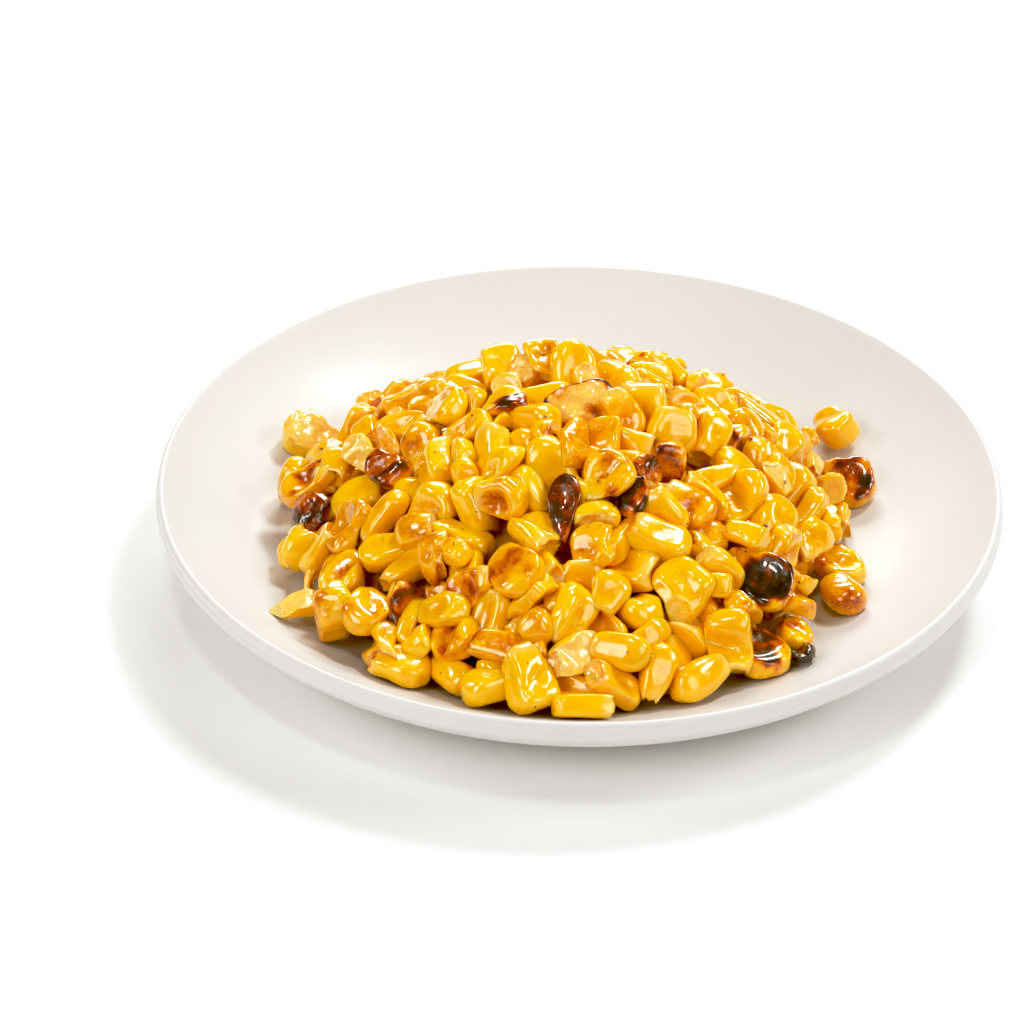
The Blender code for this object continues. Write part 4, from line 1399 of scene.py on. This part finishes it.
def make_floor():
    half = 3.0  # metres
    mesh = bpy.data.meshes.new("floor")
    corners = [(-half, -half, 0), (half, -half, 0), (half, half, 0), (-half, half, 0)]
    mesh.from_pydata(corners, [], [(0, 1, 2, 3)])
    floor = bpy.data.objects.new("floor", mesh)
    bpy.context.scene.collection.objects.link(floor)
    floor.data.materials.append(floor_material())


# ---------------------------------------------------------------- the whole

# Node, form, browning, heading, pitch, roll and sizes of the kernels that lie apart.
STRAYS = (
    ("kernel_left", "sliced", "yellow", 172, 0, -14,
     dict(length=13.0, breadth=9.8, thickness=8.6, taper=0.40, top_cut=3.2, hollow=0.2, cut_tilt=0.0)),
    ("kernel_right", "block", "yellow", -75, 10, 20,
     dict(length=9.6, breadth=9.0, thickness=7.4, dent=1.0, taper=0.7)),
    ("kernel_right_seared", "bowl", "seared", -12, 0, 24, dict(length=11.4, breadth=10.4, thickness=6.6)),
    ("kernel_right_amber", "plump", "tipped", -62, -8, 0,
     dict(length=10.2, breadth=8.0, thickness=6.0, pressed=0.1, square=2.2)),
)
STRAY_SINK = 0.1  # how far they settle into the plate's uneven cells, in mm
STRAY_WEIGHT, STANDING_OUT_WEIGHT, OTHER_WEIGHT = 99.0, 4.0, 1.0  # when the whole heap is moved apart
BUMP_HEIGHT, BUMP_LENGTH = 0.7, 15.0  # of the heap's upper side, in mm
BACK_FROM, BACK_TO, BACK_DROP = 12.0, 26.0, 3.0  # the kernels behind the top lie a little lower
LEAST_HEIGHT = 4.0  # of the heap over the plate, in mm


def heap_maps(rng):
    """Height maps in mm: the plate, the heap as wanted, and where it reaches."""
    plate_top = height_map(frame["nodes"]["plate"])
    plate_top = np.where(np.isfinite(plate_top), plate_top, 0)
    heap_top = height_map(frame["nodes"]["corn_heap"])
    inside = np.isfinite(heap_top)
    target = blur(np.where(inside, heap_top, 0), 2) / np.maximum(blur(inside * 1.0, 2), 1e-3)
    back = smooth_step(BACK_FROM, BACK_TO, MIDDLES)
    over = np.stack(np.meshgrid(MIDDLES, MIDDLES, [0.0], indexing="ij"), -1).reshape(-1, 3)
    bumps = BUMP_HEIGHT * uneven_field(over, rng, BUMP_LENGTH).reshape(target.shape)
    target = np.maximum(target - BACK_DROP * back + bumps, plate_top + LEAST_HEIGHT)
    return plate_top, np.where(inside, target, plate_top), inside


def lay_strays(plate_top, inside, rng):
    """The kernels that lie apart, each on the plate where its node is."""
    bare = Heap(plate_top, plate_top, plate_top, inside)
    laid = []
    for node, form, manner, heading, pitch, roll, sizes in STRAYS:
        low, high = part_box(node)
        middle = (low + high) / 2 / MM
        kernel = Kernel(form, manner, rng, **sizes)
        fit = Fit(bare, kernel, (middle.x, middle.y, heading, pitch, roll), STRAY_SINK)
        kernel.lay(fit.matrix, (middle.x, middle.y, fit.rest))
        laid.append(kernel)
    return laid


def main():
    rng = np.random.default_rng(SEED)
    corn, glaze = corn_material(), plate_material()
    plate_top, target, inside = heap_maps(rng)
    make_plate(glaze)
    core = make_core(target, plate_top, painted_shade_core_material())

    heap = Heap(plate_top, np.maximum(plate_top, height_map(core)), target, inside)
    join_kernels("kernels_below", lay_under(heap, rng), corn, "corn", "corn_heap")
    strays = lay_strays(plate_top, inside, rng)
    heap.cover_with(strays, keep_free=True)
    standing_out = lay_standing_out(heap, rng)
    others = fill(heap, rng)
    kernels = standing_out + others
    where_strays_lie = [(stray.matrix, stray.place) for stray in strays]
    weights = [STRAY_WEIGHT] * len(strays) + [STANDING_OUT_WEIGHT] * len(standing_out)
    keep_apart(strays + kernels, weights + [OTHER_WEIGHT] * len(others), heap)
    for stray, (matrix, place) in zip(strays, where_strays_lie):
        stray.lay(matrix, place)
    heap.cover_with(kernels)
    join_kernels("crumbs", scatter_crumbs(heap, rng), corn, "corn", "corn_heap")
    by_form = {}
    for kernel in kernels:
        by_form.setdefault(kernel.form, []).append(kernel)
    for form, group in sorted(by_form.items()):
        join_kernels("kernels_" + form, group, corn, "corn", "corn_heap")

    slots = {sub["node"]: sub["material_slot"] for sub in frame["record"]["subparts"]}
    for (node, *_), stray in zip(STRAYS, strays):
        join_kernels(node + "_look", [stray], corn, slots[node], node)

    make_camera()
    make_lights()
    make_floor()


main()
